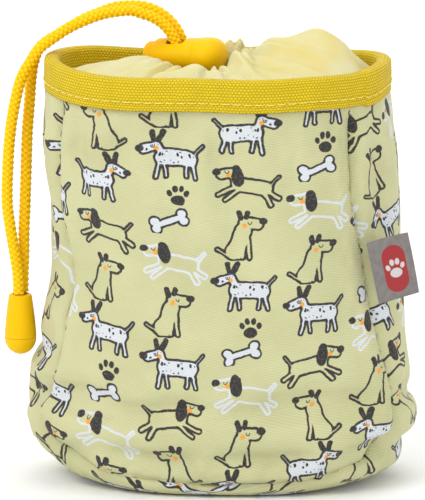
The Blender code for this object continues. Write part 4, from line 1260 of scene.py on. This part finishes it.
def make_collar(body, rim, sheer):
    """Thin cloth from under the binding, puffed up and gathered in pleats at the neck."""
    low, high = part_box("collar_hem")
    neck = np.array([(low[0] + high[0]) / 2, (low[1] + high[1]) / 2, high[2]])
    start = body.ring(body.top, 2.9 * MM)
    start[:, 2] = rim - 7.2 * MM
    bearing = np.unwrap(np.arctan2(start[:, 1] - neck[1], start[:, 0] - neck[0]))
    end = neck + np.column_stack([NECK_RADIUS * np.cos(bearing), NECK_RADIUS * np.sin(bearing), 0 * bearing])
    shares = np.linspace(0, 1, 64)
    rows = []
    for share in shares:
        level = start + (end - start) * share
        swell = min(1.35 * math.sin(math.pi * min(1.02 * share, 1)), 1) ** 0.55
        down = np.clip((share - 0.78) / 0.22, 0, 1) ** 1.6
        shelf = COLLAR_BASE + collar_height(level[:, 0], level[:, 1])
        top = start[:, 2] + (shelf - start[:, 2]) * swell
        level[:, 2] = top * (1 - down) + neck[2] * down
        rows.append(level)
    grid = np.array(rows)
    shares = shares[:, None]
    fade = np.clip(shares / 0.25, 0, 1) * np.clip((1 - shares) / 0.06, 0.35, 1)
    swing = 0.5 * ripples(body.share, np.zeros(len(body.share)), 5, 6, 2, 9)
    phase = 2 * math.pi * (COLLAR_PLEATS * body.share) + 1.8 * swing
    depth = (0.3 + 1.5 * shares**1.5) * MM * (0.75 + 0.35 * np.roll(swing, 50))[None]
    pleats = depth * np.sin(phase)[None] * fade
    shallow = 0.5 * MM * ripples(body.share[None], shares * 0.05, 17, 9, 4, 11) * fade
    grid[:, :, 2] += pleats + shallow
    grid[:, :, 2] = np.minimum(grid[:, :, 2], lock_bed(grid) + 0.5 * pleats)
    coarse = grid[::2, ::2]
    rows, columns = coarse.shape[:2]
    hold = np.zeros((rows, columns))
    hold[0] = hold[-1] = 1
    hold += 0.7 * (lock_bed(coarse) - coarse[:, :, 2] < 0.6 * MM)
    rest = drape(
        coarse.reshape(-1, 3), strips(rows, columns), np.clip(hold, 0, 1).ravel(), frames=24, stretch=0.1,
        pressure=0.5, stiffness=8, bending=0.02, gravity=0.0,
    )
    moved = rest.reshape(coarse.shape) - coarse
    grid += upsampled(PUFF_LIMIT * np.tanh(moved / PUFF_LIMIT), len(grid))
    grid[:, :, 2] = np.minimum(grid[:, :, 2], lock_bed(grid))
    cuff = start.copy()
    cuff[:, 2] = rim - 3.2 * MM
    grid = np.concatenate([cuff[None], grid])
    girth = np.linalg.norm(np.roll(start, -1, axis=0) - start, axis=1).sum()
    run = lengths(grid[:, 0])
    uv = on_cloth(body.share[None] * girth, run[:, None])
    collar = sleeve("collar_cloth", grid, uv, girth, sheer)
    thicken(collar, 0.25 * MM)
    declare(collar, "pouch", "sheer_polyester", "closure_collar")


def upsampled(values, rows):
    """Values at every other row and column of a grid that closes round, brought to all of its rows."""
    wide = np.repeat(values, 2, axis=1)
    wide[:, 1::2] = (values + np.roll(values, -1, axis=1)) / 2
    old = np.linspace(0, 1, len(values))
    new = np.clip(np.arange(rows) / 2 / (len(values) - 1), 0, 1)
    return between(new, old, wide.reshape(len(values), -1)).reshape(rows, *wide.shape[1:])


# Cord lock and cord end


def turned(name, profile, steps, finish, stretch=(1, 1, 1)):
    """A solid turned about Z from (radius, height) points that run down its outer side."""
    turn = np.linspace(0, 2 * math.pi, steps, endpoint=False)
    points = [(r * math.cos(a), r * math.sin(a), z) for r, z in profile[::-1] for a in turn]
    obj = add_mesh(name, np.array(points) * stretch, strips(len(profile), steps), finish=finish)
    weld(obj, 2e-6)
    edit(obj, lambda shape: bmesh.ops.dissolve_degenerate(shape, dist=1e-6, edges=shape.edges))
    return obj


def shade(obj, sharp_from):
    """Smooth, but for edges sharper than this many degrees."""
    obj.data.shade_smooth()
    obj.data.set_sharp_from_angle(angle=math.radians(sharp_from))


def arc(centre, radii, start, end, steps):
    """Points of an arc about centre, from start to end degrees, with a radius across and one up."""
    wide, tall = radii
    return [
        (centre[0] + wide * math.cos(a), centre[1] + tall * math.sin(a))
        for a in np.radians(np.linspace(start, end, steps))
    ]


def slotted(obj, half, low, high):
    """Cuts a round-cornered slot right through, along X."""
    bpy.ops.mesh.primitive_cube_add(size=1)
    cutter = bpy.context.object
    size = Matrix.Diagonal((60 * MM, 2 * half, high - low, 1))
    cutter.data.transform(Matrix.Translation((0, 0, (low + high) / 2)) @ size)
    edge = cutter.modifiers.new("Round", "BEVEL")
    edge.width = 1.2 * MM
    edge.segments = 5
    boolean = obj.modifiers.new("Slot", "BOOLEAN")
    boolean.operation = "DIFFERENCE"
    boolean.object = cutter
    soften = obj.modifiers.new("Soften", "BEVEL")
    soften.width = 0.18 * MM
    soften.segments = 2
    soften.angle_limit = math.radians(50)
    apply_modifiers(obj)
    bpy.data.objects.remove(cutter)
    shade(obj, 40)


def make_lock(plastic):
    """The barrel with its domed end and the sprung button, at the CAD pieces' place and size."""
    place = Matrix.Translation(ARCH_CENTRE) @ Matrix.Rotation(math.radians(-LOCK_RISE), 4, "Y")
    place @= Matrix.Translation((ARCH_RADIUS, 0, 0)) @ Matrix.Rotation(math.radians(LOCK_YAW), 4, "Z")
    place @= Matrix.Rotation(math.radians(90), 4, "Y")
    flat = (1, 1.36, 1)
    dome = [(5.34 * math.sin(a) ** 0.86, 9.1 + 4.75 * math.cos(a)) for a in np.radians(range(20, 91, 5))]
    profile = np.array([
        (0, 13.9), (1.6, 13.8), *dome, (5.3, 7.4), (5.16, 6.0), (5.0, 5.6), (4.94, 5.3), (5.0, 4.9),
        (4.95, 2), (4.62, -6), (4.5, -8.5), (4.3, -8.9), (3.9, -8.9), (3.85, -8.6), (3.85, 10.4), (0, 10.4),
    ]) * MM
    barrel = turned("lock_barrel_shell", profile, 96, plastic, flat)
    slotted(barrel, 4.1 * MM, -4.5 * MM, 1.9 * MM)
    barrel.data.transform(place)
    profile = np.array([
        (0, 4.4), (3.3, 4.4), (3.5, 4.2), (3.5, -11.4), *arc((2.6, -11.6), (0.9, 0.9), 0, -80, 8),
        (1.2, -12.68), (0, -12.7),
    ]) * MM
    button = turned("lock_button_plunger", profile, 72, plastic, flat)
    slotted(button, 4.1 * MM, -7.7 * MM, 1.9 * MM)
    button.data.transform(place)
    declare(barrel, "lock", "cord_lock_plastic", "lock_barrel")
    declare(button, "lock_button", "cord_lock_plastic", "lock_plunger")


def make_cord_end(plastic):
    """The bell that both legs end in, and the domed cap that closes it."""
    low, high = (np.array(corner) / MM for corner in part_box("cord_end_bell"))
    x, y = (low + high)[:2] / 2
    top, bottom, wide = high[2], low[2], (high[0] - low[0]) / 2
    neck, bore = wide - 1.3, 2.4
    bell = turned("cord_bell", np.array([
        (bore, top), *arc((neck - 0.9, top - 0.9), (0.9, 0.9), 90, 8, 8), (neck + 0.45, top - 4),
        (wide - 0.38, bottom + 5.5), (wide - 0.05, bottom + 1.6), (wide, bottom + 0.2),
        (wide - 0.08, bottom), (wide - 0.9, bottom), (neck - 0.9, top - 1.8), (bore, top - 1.6), (bore, top),
    ]) * MM, 72, plastic)
    low, high = (np.array(corner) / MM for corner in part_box("cord_end_cap"))
    seat = bottom - 0.1
    cap = turned("cord_bell_cap", np.array([
        (0, high[2]), (wide - 1.6, high[2]), (wide - 1.5, seat), (wide - 0.1, seat),
        *arc((0, seat - 0.1), (wide, seat - 0.1 - low[2]), 0, -86, 18), (0, low[2]),
    ]) * MM, 72, plastic)
    for piece in (bell, cap):
        piece.data.transform(Matrix.Translation((x * MM, y * MM, 0)))
        shade(piece, 42)
    declare(bell, "pouch", "cord_lock_plastic", "cord_end_bell")
    declare(cap, "pouch", "cord_lock_plastic", "cord_end_cap")
    return bell, cap


# Label

LABEL_PLACE = Vector((47.6, -29.6, 79.4)) * MM  # its upper corner in the seam
LABEL_TURN, LABEL_TILT = 20, -12  # degrees
LABEL_SIZE = (13.4 * MM, 19.6 * MM)


def triangulate_ends(shape):
    """Cuts the strip's two many-sided ends into triangles."""
    bmesh.ops.triangulate(shape, faces=[f for f in shape.faces if len(f.verts) > 4])


def make_label(finish):
    """A folded strip of satin: two layers that meet in the seam and part round the fold."""
    matrix = Matrix.Translation(LABEL_PLACE) @ Matrix.Rotation(math.radians(LABEL_TURN), 4, "Z")
    matrix @= Matrix.Rotation(math.radians(LABEL_TILT), 4, "Y")
    width, height = LABEL_SIZE
    across = np.linspace(0, 1, 28)
    down = np.linspace(0, 1, 36)
    half = 0.12 * MM + 0.3 * MM * np.sin(math.pi * across) ** 0.6
    half[-6:] *= np.sqrt(1 - np.linspace(0, 1, 6) ** 2) * 0.8 + 0.2
    front, back = [], []
    for share in down:
        bow = 0.9 * MM * np.sin(across * math.pi * 0.7 + share * 1.2) * across
        curl = 0.5 * MM * (share - 0.5) ** 2 * 4 * across
        middle = -0.45 * MM - bow + curl
        z = -height * share + 0.25 * MM * np.sin(across * 3)
        front.append(np.column_stack([across * width, middle - half, z]))
        back.append(np.column_stack([across * width, middle + half, z]))
    rings = np.array([np.vstack([f, b[::-1]]) for f, b in zip(front, back, strict=True)])
    back_start = 30 * MM  # on the cloth, clear of the patch that the front bears
    run = np.concatenate([across * width, across[::-1] * width + back_start])
    uv = on_cloth(run, -height * down[:, None])
    columns = rings.shape[1]
    faces = [face[::-1] for face in strips(len(rings), columns)]
    faces += [tuple(range(columns)), tuple(range((len(rings) - 1) * columns, len(rings) * columns))[::-1]]
    label = add_mesh("label_cloth", rings.reshape(-1, 3), faces, uv.reshape(-1, 2), finish)
    label.data.transform(matrix)
    edit(label, triangulate_ends)
    declare(label, "pouch", "woven_label", "side_label")


# Belt clip


def make_clip(webbing, thread, plastic, steel):
    """The sewn patch, and better finishes on the clip's own pieces."""
    low, high = (np.array(corner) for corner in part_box("clip_webbing_patch"))
    columns, rows = 60, 80
    x, z = np.meshgrid(np.linspace(low[0], high[0], columns), np.linspace(low[2], high[2], rows))
    edge = np.minimum.reduce([x - low[0], high[0] - x, z - low[2], high[2] - z])
    puff = np.clip(edge / (1.2 * MM), 0, 1)
    dip = 0.25 * MM * hill(edge, 2.4 * MM, 0.7 * MM)
    face = high[1] - 0.35 * MM * (1 - puff) ** 2 - dip
    under = np.full_like(x, low[1] + 0.05 * MM)
    uv = on_cloth(x - low[0], z - low[2])
    points = np.concatenate([np.stack([x, y, z], axis=2).reshape(-1, 3) for y in (face, under)])
    faces = [face[::-1] for face in strips(rows, columns, False)]
    count = rows * columns
    faces += [tuple(k + count for k in face[::-1]) for face in faces]
    places = np.arange(count).reshape(rows, columns)
    border = [*places[0], *places[1:, -1], *places[-1, -2::-1], *places[-2:0:-1, 0]]
    for a, b in zip(border, [*border[1:], border[0]], strict=True):
        faces.append((a, b, b + count, a + count))
    faces = [tuple(int(k) for k in face) for face in faces]
    patch = add_mesh("clip_patch_webbing", points, faces, np.concatenate([uv, uv]).reshape(-1, 2), webbing)
    edit(patch)
    declare(patch, "pouch", "rim_webbing", "clip_webbing_patch")
    inset = 2.4 * MM
    left, right, bottom, top = low[0] + inset, high[0] - inset, low[2] + inset, high[2] - inset
    corners = np.array([(left, bottom), (right, bottom), (right, top), (left, top)])
    stitches = []
    rise = 0.22 * MM * np.sin(np.linspace(0, math.pi, 7)) ** 0.5 - 0.26 * MM
    radii = 0.9 * THREAD_RADIUS * np.sin(np.linspace(0.25, 2.9, 7)) ** 0.3
    for a, b in zip(corners, np.roll(corners, -1, axis=0), strict=True):
        count = round(np.linalg.norm(b - a) / (2.8 * MM))
        for k in range(count):
            shares = (k + 0.08 + 0.84 * np.linspace(0, 1, 7)) / count
            flat = a + (b - a) * shares[:, None]
            line = np.column_stack([flat[:, 0], high[1] + rise, flat[:, 1]])
            stitches.append(tube(line, radii, 8, (0, 1, 0)))
    declare(joined("clip_patch_stitches", stitches, thread), "pouch", "thread")
    for node in ("clip_backplate", "clip_lever"):
        set_finish(NODES[node], plastic)
    for node in ("clip_hinge_pin", "clip_spring", "clip_rivet_left", "clip_rivet_right", "lock_spring"):
        set_finish(NODES[node], steel)


def main():
    """Camera and cords first, then the stage and the rest of the pouch."""
    make_camera()
    yellow_plastic = make_plastic("cord_lock_plastic", (0.88, 0.52, 0.0), (0.83, 0.47, 0.0), 0.45, 1500)
    make_cords(make_braid(), *make_cord_end(yellow_plastic))
    make_stage()
    thread, webbing, sheer = make_thread(), make_webbing(), make_sheer()
    body, rim = make_body(make_print(), make_lining())
    make_rim(body, rim, webbing, thread)
    make_collar(body, rim, sheer)
    set_finish(NODES["collar_hem"], sheer)
    make_lock(yellow_plastic)
    make_label(make_label_cloth())
    black_plastic = make_plastic("clip_plastic", (0.028, 0.028, 0.03), (0.018, 0.018, 0.02), 0.42, 2200)
    make_clip(webbing, thread, black_plastic, make_steel())


main()
